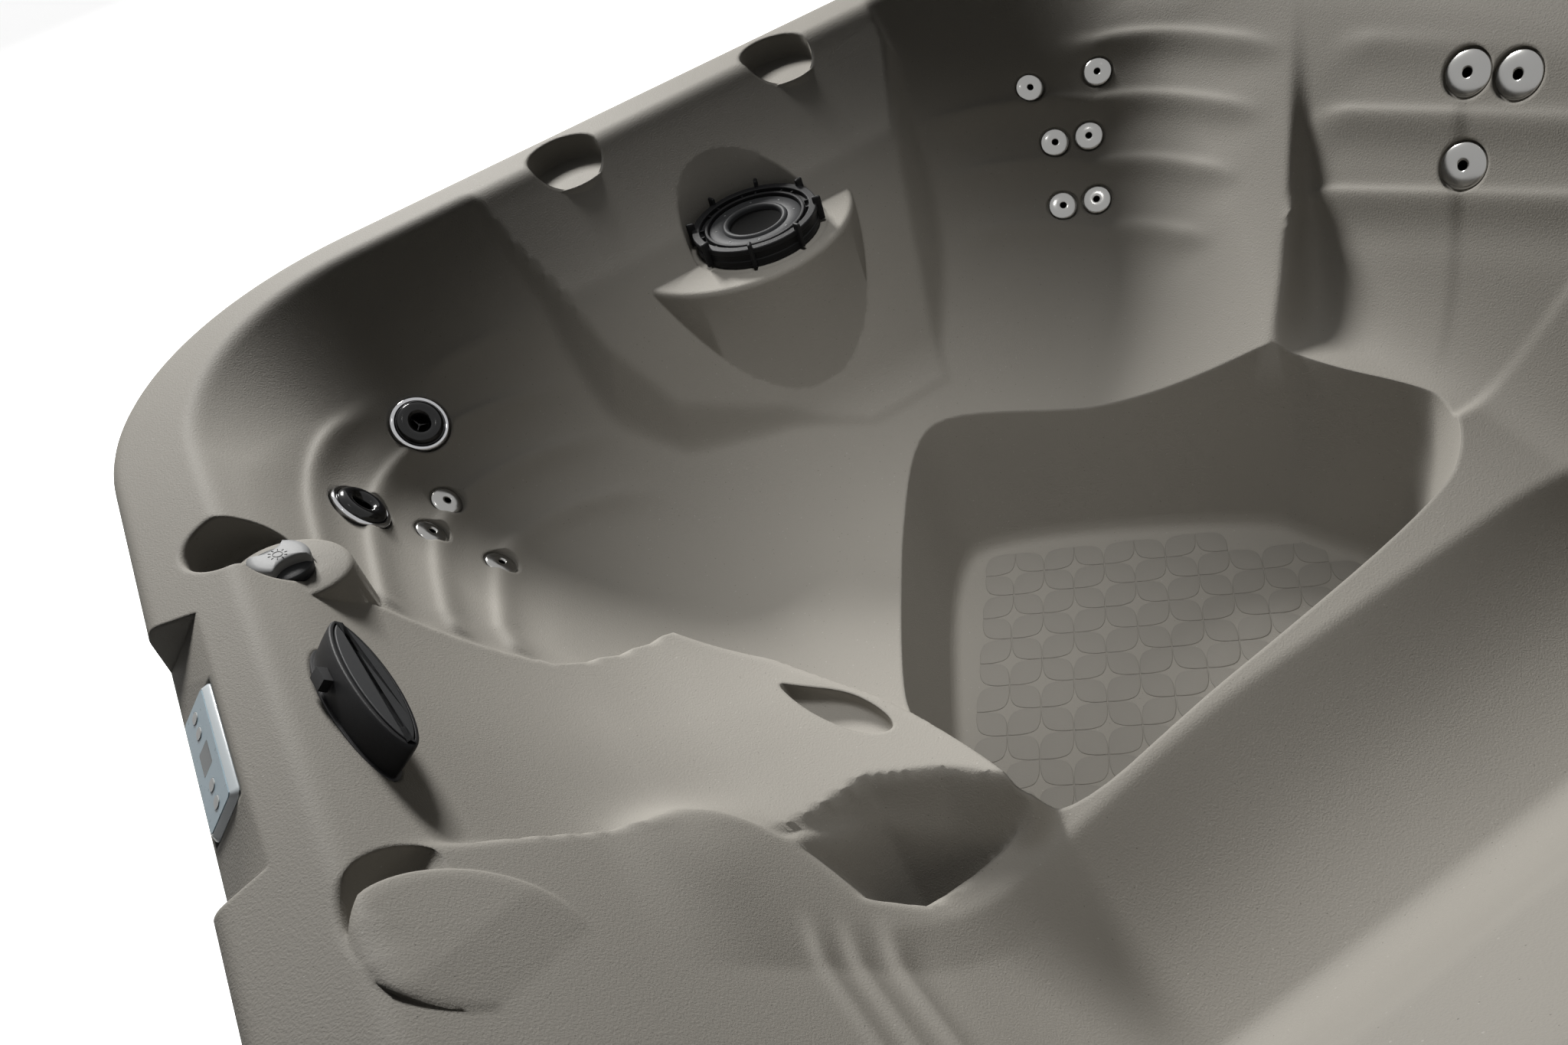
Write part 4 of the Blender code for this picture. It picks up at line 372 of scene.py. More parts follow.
def lounge_surface(x, y):
    """The lounge along the +X side: backrest, hip dip, knee and foot."""
    knee = ease((y - LOUNGE_DIP_Y_SHARE * HALF) / (LOUNGE_KNEE_RUN_SHARE * HALF))
    foot = ease((y - LOUNGE_FOOT_Y_SHARE * HALF) / (LOUNGE_FOOT_RUN_SHARE * HALF))
    dish = ((x - LOUNGE_MIDDLE_X_SHARE * HALF) / LOUNGE_DISH_RUN) ** 2
    seat = LOUNGE_DIP_Z + LOUNGE_KNEE_RISE * knee - LOUNGE_FOOT_DROP * foot + LOUNGE_DISH_RISE * dish
    across = smooth_min(np.maximum(x - LOUNGE_CROSS_X, 0), LOUNGE_CROSS_RUN + 0 * x, BLEND_WIDE)
    seat = seat - LOUNGE_CROSS_SLOPE * across
    back = LOUNGE_BACK_Z + LOUNGE_BACK_SLOPE * (LOUNGE_BACK_Y_SHARE * HALF - y)
    shoulder = SHOULDER_SLOPE * np.maximum(SHOULDER_X - x, 0)
    back = back + shoulder * ease((y + SHOULDER_END_Y) / SHOULDER_FADE)
    surface = smooth_max(seat, back, BLEND_WIDE)
    surface = smooth_max(surface, wall_surface(x, LOUNGE_SIDE_SLOPE), BLEND_WIDE)
    surface = smooth_max(surface, wall_surface(y, BACK_WALL_SLOPE), BLEND_WIDE)
    inner = LOUNGE_INNER_Z + LOUNGE_INNER_SLOPE * (LOUNGE_INNER_X_SHARE * HALF - x)
    return smooth_max(surface, inner, BLEND)


def side_surface(x, y):
    """Filter side: long slope from the rim, leaning wall and the shelf below it."""
    wall = SIDE_WALL_Z - SIDE_WALL_SLOPE * (x - SIDE_WALL_X_SHARE * HALF)
    slope = RIM_Z - SIDE_RIM_SLOPE * (inset_from_rim(x, y) - SIDE_RIM_FLAT)
    surface = smooth_min(slope, wall, BLEND_SOFT)
    surface = smooth_max(surface, SHELF_Z + 0 * x, BLEND_SOFT)
    fall = np.maximum(region_distance(x, y, SIDE_REGION), 0)
    return surface - SIDE_FALL_SLOPE * fall


def cool_seat_surface(x, y):
    """Back and seat of the cool-down seat under the waterfall."""
    rise = 0
    for shift in (-2, -1, 0, 1, 2):
        rise = rise + np.interp(y / HALF + shift * COOL_SMOOTH_SHARE, COOL_Y, COOL_RISE) / 5
    dish = (np.maximum(np.abs(x) - COOL_FLAT, 0) / COOL_DISH_RUN) ** 2
    surface = COOL_Z + COOL_Z * rise + COOL_DISH_RISE * dish
    far = np.hypot(x - HUMP_X_SHARE * HALF, y - HUMP_Y_SHARE * HALF) / HUMP_RUN
    surface = surface + HUMP_RISE * np.exp(-far ** 2)
    return surface - COOL_FALL_SLOPE * np.maximum(region_distance(x, y, COOL_REGION), 0)


def trough_surface(x, y):
    """Shallow trough between the cool-down seat and the lounge."""
    return TROUGH_Z + TROUGH_SLOPE * (region_distance(x, y, TROUGH) + BLEND_WIDE / 2)


def tub_height(x, y, blend=BLEND):
    """Height of the moulded seats, walls and rim at each plan position."""
    seats = smooth_min(bucket_surface(x, y), back_seat_surface(x, y), blend)
    seats = smooth_min(seats, lounge_surface(x, y), blend)
    height = smooth_max(seats, cool_seat_surface(x, y), blend)
    height = smooth_min(height, trough_surface(x, y), blend)
    height = smooth_min(height, rim_surface(x, y), RIM_BLEND)
    height = smooth_max(height, side_surface(x, y), blend)
    return smooth_min(height, RIM_Z + 0 * x, RIM_BLEND)


def height_at(x, y):
    """Height of the moulded surface at one point."""
    return float(tub_height(np.array([x]), np.array([y]))[0])


def rib_lift(height, levels, mask, rise, width):
    """Narrow crests on a leaning wall, each with a slightly hollow band below it."""
    lift = 0 * height
    for level in levels:
        off = (height - level) / width
        hollow = np.exp(-((off + HOLLOW_BELOW) / HOLLOW_WIDTH) ** 2)
        lift = lift + rise * (np.exp(-off * off) - HOLLOW_SHARE * hollow)
    return lift * mask


def near_surface(height, surface):
    """Near 1 where the moulded surface is this one of its parts."""
    return np.exp(-((height - surface) / SURFACE_MATCH) ** 2)


def corner_seat_ribs(x, y, height):
    """Ribs of the two corner seats, whose heights change with the angle round the bowl."""
    bucket = near_surface(height, bucket_surface(x, y))
    bucket = bucket * fade_in(region_distance(x, y, COOL_REGION), start=0.004, run=0.03)
    dx, dy = bowl_reach(x, y)
    turn = np.degrees(np.arctan2(dy, dx))
    share = np.clip((turn - FRONT_RIB_START) / FRONT_RIB_SPAN, *FRONT_RIB_ENDS)
    front_levels = [low + (high - low) * share for low, high in FRONT_RIBS]
    front = bucket * (y < 0) * fade_in(turn, start=8, run=24) * fade_out(x, end=0.02, run=0.05)
    before = np.maximum(BACK_RIB_TURN - turn, 0)
    after = np.maximum(turn - BACK_RIB_TURN, 0)
    climb = BACK_RIB_CLIMBS[0] * before + BACK_RIB_CLIMBS[1] * after
    back_levels = [level + climb for level in BACK_RIBS]
    back = bucket * (y > 0) * fade_in(turn, start=6, run=16) * fade_out(turn, end=84, run=14)
    return (rib_lift(height, front_levels, front, rise=0.0075, width=0.012)
            + rib_lift(height, back_levels, back, rise=0.0065, width=0.012))


def fine_height(x, y):
    """The moulded surface with its ribs, which stand out square to the walls."""
    height = tub_height(x, y, FINE_BLEND)
    slope_x = (tub_height(x + SLOPE_STEP, y) - tub_height(x - SLOPE_STEP, y)) / (2 * SLOPE_STEP)
    slope_y = (tub_height(x, y + SLOPE_STEP) - tub_height(x, y - SLOPE_STEP)) / (2 * SLOPE_STEP)
    stretch = np.sqrt(1 + slope_x ** 2 + slope_y ** 2)
    lift = corner_seat_ribs(x, y, height)
    middle = near_surface(height, back_seat_surface(x, y)) * (y > 0.4)
    middle = middle * fade_in(x, start=-0.26, run=0.08) * fade_out(x, end=0.24, run=0.06)
    levels = [level + climb * x for level, climb in MIDDLE_RIBS]
    lift = lift + rib_lift(height, levels, middle, rise=0.0060, width=0.015)
    lounge = near_surface(height, lounge_surface(x, y)) * (y < -0.25)
    lounge = lounge * fade_in(x, start=0.285, run=0.07) * fade_out(x, end=0.72, run=0.08)
    lift = lift + rib_lift(height, LOUNGE_RIBS, lounge, rise=0.0065, width=0.010)
    return np.minimum(height + lift * stretch, RIM_Z)


def cleared_height(x, y):
    """Height that the underside has to stay below, footwell and cut features included."""
    well = WELL_EDGE_Z + WELL_SLOPE * region_distance(x, y, WELL)
    height = np.minimum(tub_height(x, y) - UNDER_DROP, np.maximum(well, WELL_FLOOR_Z))
    for (share_x, share_y), (long, wide) in zip(RECESSES, RECESS_STRETCH):
        far = np.hypot((x - share_x * HALF) / long, (y - share_y * HALF) / wide)
        within = far < RECESS_RADIUS + RECESS_MARGIN
        height = np.where(within, np.minimum(height, RIM_Z - RECESS_DEPTH), height)
    far = np.hypot(x - NICHE_MIDDLE_X, y)
    height = np.where(far < NICHE_HALF, np.minimum(height, LEDGE_Z), height)
    notch = RIM_Z - NOTCH_SLOPE * (NOTCH_Y_SHARE * HALF - y)
    height = np.where(np.abs(x) < NOTCH_HALF_X + OVERRUN, np.minimum(height, notch), height)
    pocket = region_distance(x, y, POCKET) < POCKET_MARGIN
    return np.where(pocket, np.minimum(height, POCKET_Z - UNDER_DROP), height)


def warp(u, v, inset=0.0):
    """Carries points of the unit square onto the rounded plan."""
    u = np.asarray(u, float)
    v = np.asarray(v, float)
    far = np.maximum(np.maximum(np.abs(u), np.abs(v)), NEAR_ZERO)
    du, dv = u / far, v / far
    low = np.zeros(far.shape)
    high = np.full(far.shape, HALF)
    for _ in range(HALVINGS):
        middle = (low + high) / 2
        within = inset_from_rim(du * middle, dv * middle) > inset
        low = np.where(within, middle, low)
        high = np.where(within, high, middle)
    reach = np.minimum(HALF + (low - HALF) * far ** WARP_POWER, HALF - inset)
    return np.stack([du * far * reach, dv * far * reach], -1)


def spread(cells):
    """Grid lines that lie closer together where the walls are."""
    t = np.linspace(-1, 1, DENSE_SAMPLES)
    weight = 1 + DENSE_WEIGHT * np.exp(-((np.abs(t) - DENSE_AT) / DENSE_WIDTH) ** 2)
    total = np.concatenate([[0], np.cumsum((weight[1:] + weight[:-1]) / 2)])
    return np.interp(np.linspace(0, total[-1], cells + 1), total, t)


def ring_of(last):
    """Row and column of each grid point round the edge of a square grid."""
    ring = [(last, j) for j in range(last)]
    ring += [(i, last) for i in range(last, 0, -1)]
    ring += [(0, j) for j in range(last, 0, -1)]
    ring += [(i, 0) for i in range(last)]
    return np.array(ring)


def lowest_nearby(points, reach):
    """The lowest top surface within a square window round each point."""
    lowest = np.full(points.shape[:2], RIM_Z)
    for dx in np.linspace(-reach, reach, WINDOW_SAMPLES):
        for dy in np.linspace(-reach, reach, WINDOW_SAMPLES):
            x = np.clip(points[..., 0] + dx, -HALF, HALF)
            y = np.clip(points[..., 1] + dy, -HALF, HALF)
            lowest = np.minimum(lowest, cleared_height(x, y))
    return lowest


def quads(rows, columns, start, flip):
    """Faces of a grid whose points are numbered row by row."""
    a = start + (np.arange(rows)[:, None] * (columns + 1) + np.arange(columns)[None, :])
    faces = np.stack([a, a + columns + 1, a + columns + 2, a + 1], -1).reshape(-1, 4)
    return faces[:, ::-1] if flip else faces


def bridge(outer, inner):
    """Triangles between two rings with different counts of points."""
    faces = []
    a = b = 0
    while a < len(outer) or b < len(inner):
        here = (outer[a % len(outer)], inner[b % len(inner)])
        if b >= len(inner) or (a < len(outer) and (a + 1) * len(inner) <= (b + 1) * len(outer)):
            faces.append((here[0], outer[(a + 1) % len(outer)], here[1]))
            a += 1
        else:
            faces.append((here[0], inner[(b + 1) % len(inner)], here[1]))
            b += 1
    return faces


def shell_mesh(cells, under_cells):
    """Fine moulded top, rounded edge, skirt and a plain underside as one closed solid."""
    lines = spread(cells)
    u, v = np.meshgrid(lines, lines, indexing="ij")
    top = warp(u, v, EDGE_ROUND)
    top_z = fine_height(top[..., 0], top[..., 1])
    lines_under = np.linspace(-1, 1, under_cells + 1)
    uu, vu = np.meshgrid(lines_under, lines_under, indexing="ij")
    under = warp(uu, vu, SKIRT_WALL)
    under_z = lowest_nearby(under, WINDOW_REACH * 2 * HALF / under_cells) - SHELL_WALL
    vertices = [np.concatenate([top.reshape(-1, 2), top_z.reshape(-1, 1)], 1)]
    faces = quads(cells, cells, 0, False).tolist()
    ring = ring_of(cells)
    rings = [ring[:, 0] * (cells + 1) + ring[:, 1]]
    edge_z = top_z[ring[:, 0], ring[:, 1]]
    count = len(vertices[0])
    ring_u, ring_v = lines[ring[:, 0]], lines[ring[:, 1]]
    for angle in EDGE_ANGLES:
        turn = math.radians(angle)
        inset = EDGE_ROUND * (1 - math.sin(turn))
        drop = EDGE_ROUND * (1 - math.cos(turn))
        plan = warp(ring_u, ring_v, inset)
        vertices.append(np.concatenate([plan, (edge_z - drop)[:, None]], 1))
        rings.append(np.arange(count, count + len(plan)))
        count += len(plan)
    plan = warp(ring_u, ring_v, 0.0)
    for height in SKIRT_LEVELS:
        vertices.append(np.concatenate([plan, np.full((len(plan), 1), height)], 1))
        rings.append(np.arange(count, count + len(plan)))
        count += len(plan)
    for high, low in zip(rings, rings[1:]):
        faces += np.stack([high, np.roll(high, -1), np.roll(low, -1), low], -1).tolist()
    vertices.append(np.concatenate([under.reshape(-1, 2), under_z.reshape(-1, 1)], 1))
    faces += quads(under_cells, under_cells, count, True).tolist()
    ring = ring_of(under_cells)
    under_ring = count + ring[:, 0] * (under_cells + 1) + ring[:, 1]
    count += len(vertices[-1])
    flat = vertices[-1][under_ring - (count - len(vertices[-1]))]
    flat = np.concatenate([flat[:, :2], np.full((len(flat), 1), BASE_TOP)], 1)
    vertices.append(flat)
    foot = np.arange(count, count + len(flat))
    faces += np.stack([under_ring, foot, np.roll(foot, -1), np.roll(under_ring, -1)], -1).tolist()
    faces += bridge(rings[-1].tolist(), foot.tolist())
    return mesh_from(np.concatenate(vertices).tolist(), faces)


# Mesh helpers for the turned and lofted pieces
MITRE_LIMIT = 0.3
LEVEL_LIMIT = 1e-6


def mesh_from(vertices, faces):
    """Mesh whose faces all look outward."""
    mesh = bpy.data.meshes.new("mesh")
    mesh.from_pydata([tuple(v) for v in vertices], [], [tuple(f) for f in faces])
    form = bmesh.new()
    form.from_mesh(mesh)
    bmesh.ops.recalc_face_normals(form, faces=form.faces)
    form.to_mesh(mesh)
    form.free()
    return mesh


def lathe(profile, sides=48):
    """Closed solid turned about z from points of radius and height."""
    vertices, rows = [], []
    for radius, height in profile:
        if radius == 0:
            rows.append([len(vertices)] * sides)
            vertices.append((0, 0, height))
        else:
            rows.append([len(vertices) + k for k in range(sides)])
            vertices += [(x, y, height) for x, y in circle(radius, sides)]
    faces = []
    for low, high in zip(rows, rows[1:] + rows[:1]):
        for k in range(sides):
            corners = [low[k], low[(k + 1) % sides], high[(k + 1) % sides], high[k]]
            face = list(dict.fromkeys(corners))
            if len(face) > 2:
                faces.append(face)
    return mesh_from(vertices, faces)


def loft(rings):
    """Closed solid through rings with the same count of points."""
    count = len(rings[0])
    vertices = [point for ring in rings for point in ring]
    faces = [list(range(count))[::-1], [len(vertices) - count + k for k in range(count)]]
    for start in range(0, len(vertices) - count, count):
        for k in range(count):
            after = start + (k + 1) % count
            faces.append([start + k, after, after + count, start + k + count])
    return mesh_from(vertices, faces)


def raised(outline, height):
    """A plan outline as a ring at one height."""
    return [(x, y, height) for x, y in outline]


def rounded_top(outline, high, edge, steps):
    """Rings that round the top edge of an upright solid."""
    rings = []
    for k in range(steps + 1):
        turn = math.pi / 2 * k / steps
        inner = offset_outline(outline, -edge * (1 - math.cos(turn)))
        rings.append(raised(inner, high - edge * (1 - math.sin(turn))))
    return rings


def prism(outline, low, high, edge=0.0, steps=3):
    """Upright solid whose top edge may be rounded."""
    top = rounded_top(outline, high, edge, steps) if edge else [raised(outline, high)]
    return loft([raised(outline, low)] + top)


def offset_outline(points, distance):
    """Outline moved outward, or inward for a negative distance."""
    made = []
    for before, here, after in zip(points[-1:] + points[:-1], points, points[1:] + points[:1]):
        first = (Vector(here) - Vector(before)).normalized()
        second = (Vector(after) - Vector(here)).normalized()
        outward = Vector((first.y + second.y, -first.x - second.x)).normalized()
        scale = distance / max(outward.dot(Vector((first.y, -first.x))), MITRE_LIMIT)
        made.append(tuple(Vector(here) + outward * scale))
    return made


def box(low, high):
    outline = [(low[0], low[1]), (high[0], low[1]), (high[0], high[1]), (low[0], high[1])]
    return prism(outline, low[2], high[2])


def rounded_rectangle(length, width, radius, steps=6):
    points = []
    for corner, (sx, sy) in enumerate(((1, 1), (-1, 1), (-1, -1), (1, -1))):
        cx = sx * (length / 2 - radius)
        cy = sy * (width / 2 - radius)
        for k in range(steps + 1):
            angle = math.pi / 2 * (corner + k / steps)
            points.append((cx + radius * math.cos(angle), cy + radius * math.sin(angle)))
    return points


def arc(centre, radius, start, end, steps):
    """Points of a profile arc, angles in degrees."""
    made = []
    for k in range(steps + 1):
        angle = math.radians(start + (end - start) * k / steps)
        made.append((centre[0] + radius * math.cos(angle), centre[1] + radius * math.sin(angle)))
    return made


def joined(meshes):
    """Several meshes, with their places, as one mesh."""
    form = bmesh.new()
    for mesh, place in meshes:
        copy = mesh.copy()
        copy.transform(place)
        form.from_mesh(copy)
        bpy.data.meshes.remove(copy)
    made = bpy.data.meshes.new("joined")
    form.to_mesh(made)
    form.free()
    return made


def circle(radius, sides):
    turns = [2 * math.pi * k / sides for k in range(sides)]
    return [(radius * math.cos(turn), radius * math.sin(turn)) for turn in turns]


def around(count, along, start=0.0):
    """Places evenly round the z axis, each turned to face outward."""
    turns = [2 * math.pi * (k + start) / count for k in range(count)]
    return [Matrix.Rotation(turn, 4, "Z") @ Matrix.Translation((along, 0, 0)) for turn in turns]


def frame_from(place, normal):
    """Frame whose z axis is the normal and whose x axis is level."""
    level = Vector((0, 0, 1)).cross(normal)
    level = Vector((1, 0, 0)) if level.length < LEVEL_LIMIT else level.normalized()
    other = normal.cross(level)
    turn = Matrix((level, other, normal)).transposed().to_4x4()
    return Matrix.Translation(place) @ turn


def surface_frame(x, y, sink, reach=0.012):
    """Frame square to the moulded surface, sunk in it."""
    slope_x = (height_at(x + reach, y) - height_at(x - reach, y)) / (2 * reach)
    slope_y = (height_at(x, y + reach) - height_at(x, y - reach)) / (2 * reach)
    normal = Vector((-slope_x, -slope_y, 1)).normalized()
    return frame_from(Vector((x, y, height_at(x, y))) - normal * sink, normal)


joint_of = {joint["name"]: joint for joint in frame["joints"]}


def joint_frame(name):
    joint = joint_of[name]
    return frame_from(Vector(joint["pos_m"]), Vector(joint["axis"]).normalized())


# Materials
CHOICES = ("operation", "blend_type", "data_type", "feature", "samples")
BROAD_SCALE = 7.0
FLECKS = ((260.0, (0.45, 0.43, 0.40)), (330.0, (0.06, 0.056, 0.05)))
FLECK_LIMIT = 0.985
FLECK_SIZE = 0.26
FLECK_STRENGTH = 0.40


def new_material(name, color, roughness, metallic=0.0, specular=0.5, coat=0.0):
    made = bpy.data.materials.new(name)
    made.use_nodes = True
    shader = made.node_tree.nodes["Principled BSDF"]
    shader.inputs["Base Color"].default_value = (*color, 1.0)
    shader.inputs["Roughness"].default_value = roughness
    shader.inputs["Metallic"].default_value = metallic
    shader.inputs["Specular IOR Level"].default_value = specular
    shader.inputs["Coat Weight"].default_value = coat
    return made, made.node_tree, shader


def add_node(tree, kind, **values):
    """A node with its choices and the values of its inputs."""
    node = tree.nodes.new(kind)
    for key, value in values.items():
        if key in CHOICES:
            setattr(node, key, value)
        else:
            node.inputs[key].default_value = value
    return node


def feed(tree, entry, value):
    """Links a socket to an input, or sets the input's own value."""
    if isinstance(value, bpy.types.NodeSocket):
        tree.links.new(value, entry)
    else:
        entry.default_value = value


def math_node(tree, operation, *values):
    node = add_node(tree, "ShaderNodeMath", operation=operation)
    for entry, value in zip(node.inputs, values):
        feed(tree, entry, value)
    return node.outputs[0]


def mix_colors(tree, blend, factor, first, second):
    node = add_node(tree, "ShaderNodeMix", data_type="RGBA", blend_type=blend)
    for number, value in ((0, factor), (6, first), (7, second)):
        feed(tree, node.inputs[number], value)
    return node.outputs[2]


def flecked(tree, place, surface):
    """Scatters fine pale and dark flecks over a colour."""
    for number, (scale, shade) in enumerate(FLECKS):
        cells = add_node(tree, "ShaderNodeTexVoronoi", feature="F1", Scale=scale, Randomness=1.0)
        feed(tree, cells.inputs["Vector"], place)
        pick = add_node(tree, "ShaderNodeSeparateColor")
        feed(tree, pick.inputs[0], cells.outputs["Color"])
        chosen = math_node(tree, "GREATER_THAN", pick.outputs[number], FLECK_LIMIT)
        near = math_node(tree, "LESS_THAN", cells.outputs["Distance"], FLECK_SIZE)
        both = math_node(tree, "MULTIPLY", chosen, near)
        weak = math_node(tree, "MULTIPLY", both, FLECK_STRENGTH)
        surface = mix_colors(tree, "MIX", weak, surface, (*shade, 1.0))
    return surface


def grain_material(name, color, roughness, metallic=0.0, scale=300.0, depth=0.0004, vary=0.06,
                   rough_vary=0.08, bevel=0.0, specks=False, specular=0.5, coat=0.0):
    """Plastic or metal with a fine grain, small tone changes and uneven gloss."""
    made, tree, shader = new_material(name, color, roughness, metallic, specular, coat)
    place = add_node(tree, "ShaderNodeTexCoord").outputs["Object"]
    fine = add_node(tree, "ShaderNodeTexNoise", Scale=scale, Detail=3.0, Roughness=0.6)
    feed(tree, fine.inputs["Vector"], place)
    broad = add_node(tree, "ShaderNodeTexNoise", Scale=BROAD_SCALE, Detail=2.0)
    feed(tree, broad.inputs["Vector"], place)
    tone = math_node(tree, "MULTIPLY_ADD", broad.outputs["Fac"], vary * 2, 1 - vary)
    surface = mix_colors(tree, "MULTIPLY", 1.0, (*color, 1.0), tone)
    if specks:
        surface = flecked(tree, place, surface)
    feed(tree, shader.inputs["Base Color"], surface)
    gloss = math_node(tree, "MULTIPLY_ADD", fine.outputs["Fac"], rough_vary * 2, roughness - rough_vary)
    feed(tree, shader.inputs["Roughness"], gloss)
    bump = add_node(tree, "ShaderNodeBump", Strength=1.0, Distance=depth)
    feed(tree, bump.inputs["Height"], fine.outputs["Fac"])
    if bevel:
        rounded = add_node(tree, "ShaderNodeBevel", samples=6, Radius=bevel)
        feed(tree, bump.inputs["Normal"], rounded.outputs[0])
    feed(tree, shader.inputs["Normal"], bump.outputs[0])
    return made


SHELL_COLOR = (0.292, 0.278, 0.252)
# The treads are the shell's own plastic; their colour is about 0.9 of the shell colour as painted shade
TREAD_SHADED_COLOR = (0.262, 0.250, 0.228)
shell_plastic = grain_material("moulded_shell", SHELL_COLOR, 0.60, scale=420.0, depth=0.0006, vary=0.03,
                               bevel=0.007, specks=True, specular=0.06)
skirt_plastic = grain_material("moulded_door", SHELL_COLOR, 0.60, scale=420.0, depth=0.0006, vary=0.03,
                               specks=True, specular=0.06)
shaded_tread_plastic = grain_material("moulded_treads", TREAD_SHADED_COLOR, 0.60, scale=420.0, vary=0.03, bevel=0.001,
                               specular=0.06)
black_plastic = grain_material("black_satin", (0.012, 0.012, 0.013), 0.45, scale=900.0, depth=0.0001,
                               specular=0.25)
black_grain = grain_material("black_grain", (0.014, 0.014, 0.015), 0.45, scale=1400.0, depth=0.0002,
                             bevel=0.001, specular=0.10)
graphite = grain_material("graphite_satin", (0.034, 0.035, 0.037), 0.50, scale=1400.0, depth=0.0002,
                          specular=0.12)
graphite_gloss = grain_material("graphite_gloss", (0.006, 0.006, 0.007), 0.16, scale=500.0,
                                depth=0.00004, rough_vary=0.03, specular=0.30)
# Near-black material for the insides of jet holes, nozzle eyes, the weir bore and the waterfall slot:
# painted shade
hole_shade = grain_material("dark_inside", (0.003, 0.003, 0.003), 0.70, scale=600.0, depth=0.0001,
                           specular=0.02)
light_grey = grain_material("light_grey_satin", (0.27, 0.275, 0.28), 0.50, scale=1200.0, depth=0.0001,
                            bevel=0.001, specular=0.12)
chrome = grain_material("chrome_polish", (0.42, 0.42, 0.43), 0.10, 1.0, scale=60.0, depth=0.00002,
                        rough_vary=0.02)
steel = grain_material("steel_polish", (0.30, 0.297, 0.288), 0.20, 1.0, scale=80.0, depth=0.00004,
                       rough_vary=0.03)
white_plastic = grain_material("white_satin", (0.52, 0.53, 0.53), 0.50, scale=600.0, depth=0.0001,
                               specular=0.15)
blue_film = grain_material("printed_film", (0.36, 0.47, 0.54), 0.30, scale=200.0, depth=0.00003,
                           vary=0.10)
clear_frame = grain_material("frosted_frame", (0.52, 0.57, 0.60), 0.22, scale=400.0, depth=0.00005,
                             coat=0.5)
display_glass = grain_material("display_window", (0.10, 0.12, 0.13), 0.12, depth=0.00002,
                               rough_vary=0.03, coat=0.5)
paper = grain_material("pleated_paper", (0.70, 0.72, 0.72), 0.85, scale=160.0, depth=0.0008)
motor_paint = grain_material("motor_paint_fine", (0.055, 0.065, 0.075), 0.45, scale=500.0, depth=0.0003)

looks = {
    "shell_plastic": skirt_plastic, "black_plastic": black_plastic, "graphite_plastic": graphite,
    "light_grey_plastic": light_grey, "chrome": chrome, "steel": steel, "white_plastic": white_plastic,
    "pale_blue_film": blue_film, "display_grey": display_glass, "filter_paper": paper,
    "motor_paint": motor_paint,
}
for thing in frame["nodes"].values():
    for place in thing.material_slots:
        base = place.material.name.split(".")[0] if place.material else ""
        for slot_name, look in looks.items():
            if base.endswith(slot_name):
                place.material = look
                break


def piece(name, mesh, surface, body, replaces=(), place=Matrix.Identity(4), angle=40):
    """A visible piece that rides on a body and may stand for CAD nodes."""
    made = bpy.data.objects.new(name, mesh)
    mesh.name = name
    mesh.materials.clear()
    for look in surface if isinstance(surface, tuple) else (surface,):
        mesh.materials.append(look)
    mesh.shade_smooth()
    mesh.set_sharp_from_angle(angle=math.radians(angle))
    made.matrix_world = place
    bpy.context.scene.collection.objects.link(made)
    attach(made, body)
    if replaces:
        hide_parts(*replaces)
    return made


# The shell with its cut features
cutters = []


def cutter(mesh, place=Matrix.Identity(4), operation="DIFFERENCE"):
    made = bpy.data.objects.new("cutter", mesh)
    made.matrix_world = place
    bpy.context.scene.collection.objects.link(made)
    cutters.append((made, operation))


def cut_all(name, mesh, place=Matrix.Identity(4)):
    """The mesh after every waiting cutter, in the mesh's own frame."""
    target = bpy.data.objects.new(name, mesh)
    bpy.context.scene.collection.objects.link(target)
    target.matrix_world = place
    for number, (tool, operation) in enumerate(cutters):
        modifier = target.modifiers.new(f"cut_{number}", "BOOLEAN")
        modifier.object = tool
        modifier.operation = operation
        modifier.solver = "MANIFOLD"
    bpy.context.view_layer.update()
    graph = bpy.context.evaluated_depsgraph_get()
    made = bpy.data.meshes.new_from_object(target.evaluated_get(graph))
    for tool, _ in cutters:
        bpy.data.objects.remove(tool, do_unlink=True)
    cutters.clear()
    bpy.data.objects.remove(target, do_unlink=True)
    return made


def seat_cutter(place, pad, bore, depth, sides=40):
    """Bore with a wider flat seat round its mouth."""
    profile = [(0, -depth), (bore, -depth), (bore, 0), (pad, 0), (pad, OVERRUN), (0, OVERRUN)]
    cutter(lathe(profile, sides), place)


def shape_cups():
    """Two cup holders in the filter-side rim, each on its own bulge."""
    bulge = [(0, -CONE_DROP), (CONE_RADIUS, -CONE_DROP), (CUP_MOUTH + CUP_EDGE, -2 * CUP_EDGE),
             (CUP_MOUTH, CUP_EDGE), (CUP_MOUTH - CUP_EDGE / 2, CUP_WALL), (0, CUP_WALL)]
    hollow = [(0, 0), (CUP_RADIUS - CUP_CHAMFER, 0), (CUP_RADIUS, CUP_EDGE),
              (CUP_RADIUS, CUP_DEPTH - 2 * CUP_EDGE),
              (CUP_RADIUS + CUP_CHAMFER, CUP_DEPTH - CUP_EDGE / 2), (CUP_MOUTH, CUP_DEPTH),
              (CUP_MOUTH, CUP_DEPTH + OVERRUN), (0, CUP_DEPTH + OVERRUN)]
    for share in CUP_Y_SHARES:
        place = Matrix.Translation((CUP_X_SHARE * HALF, share * HALF, RIM_Z - CUP_DEPTH))
        cutter(lathe(bulge, 64), place, "UNION")
        cutter(lathe(hollow, 64), place)


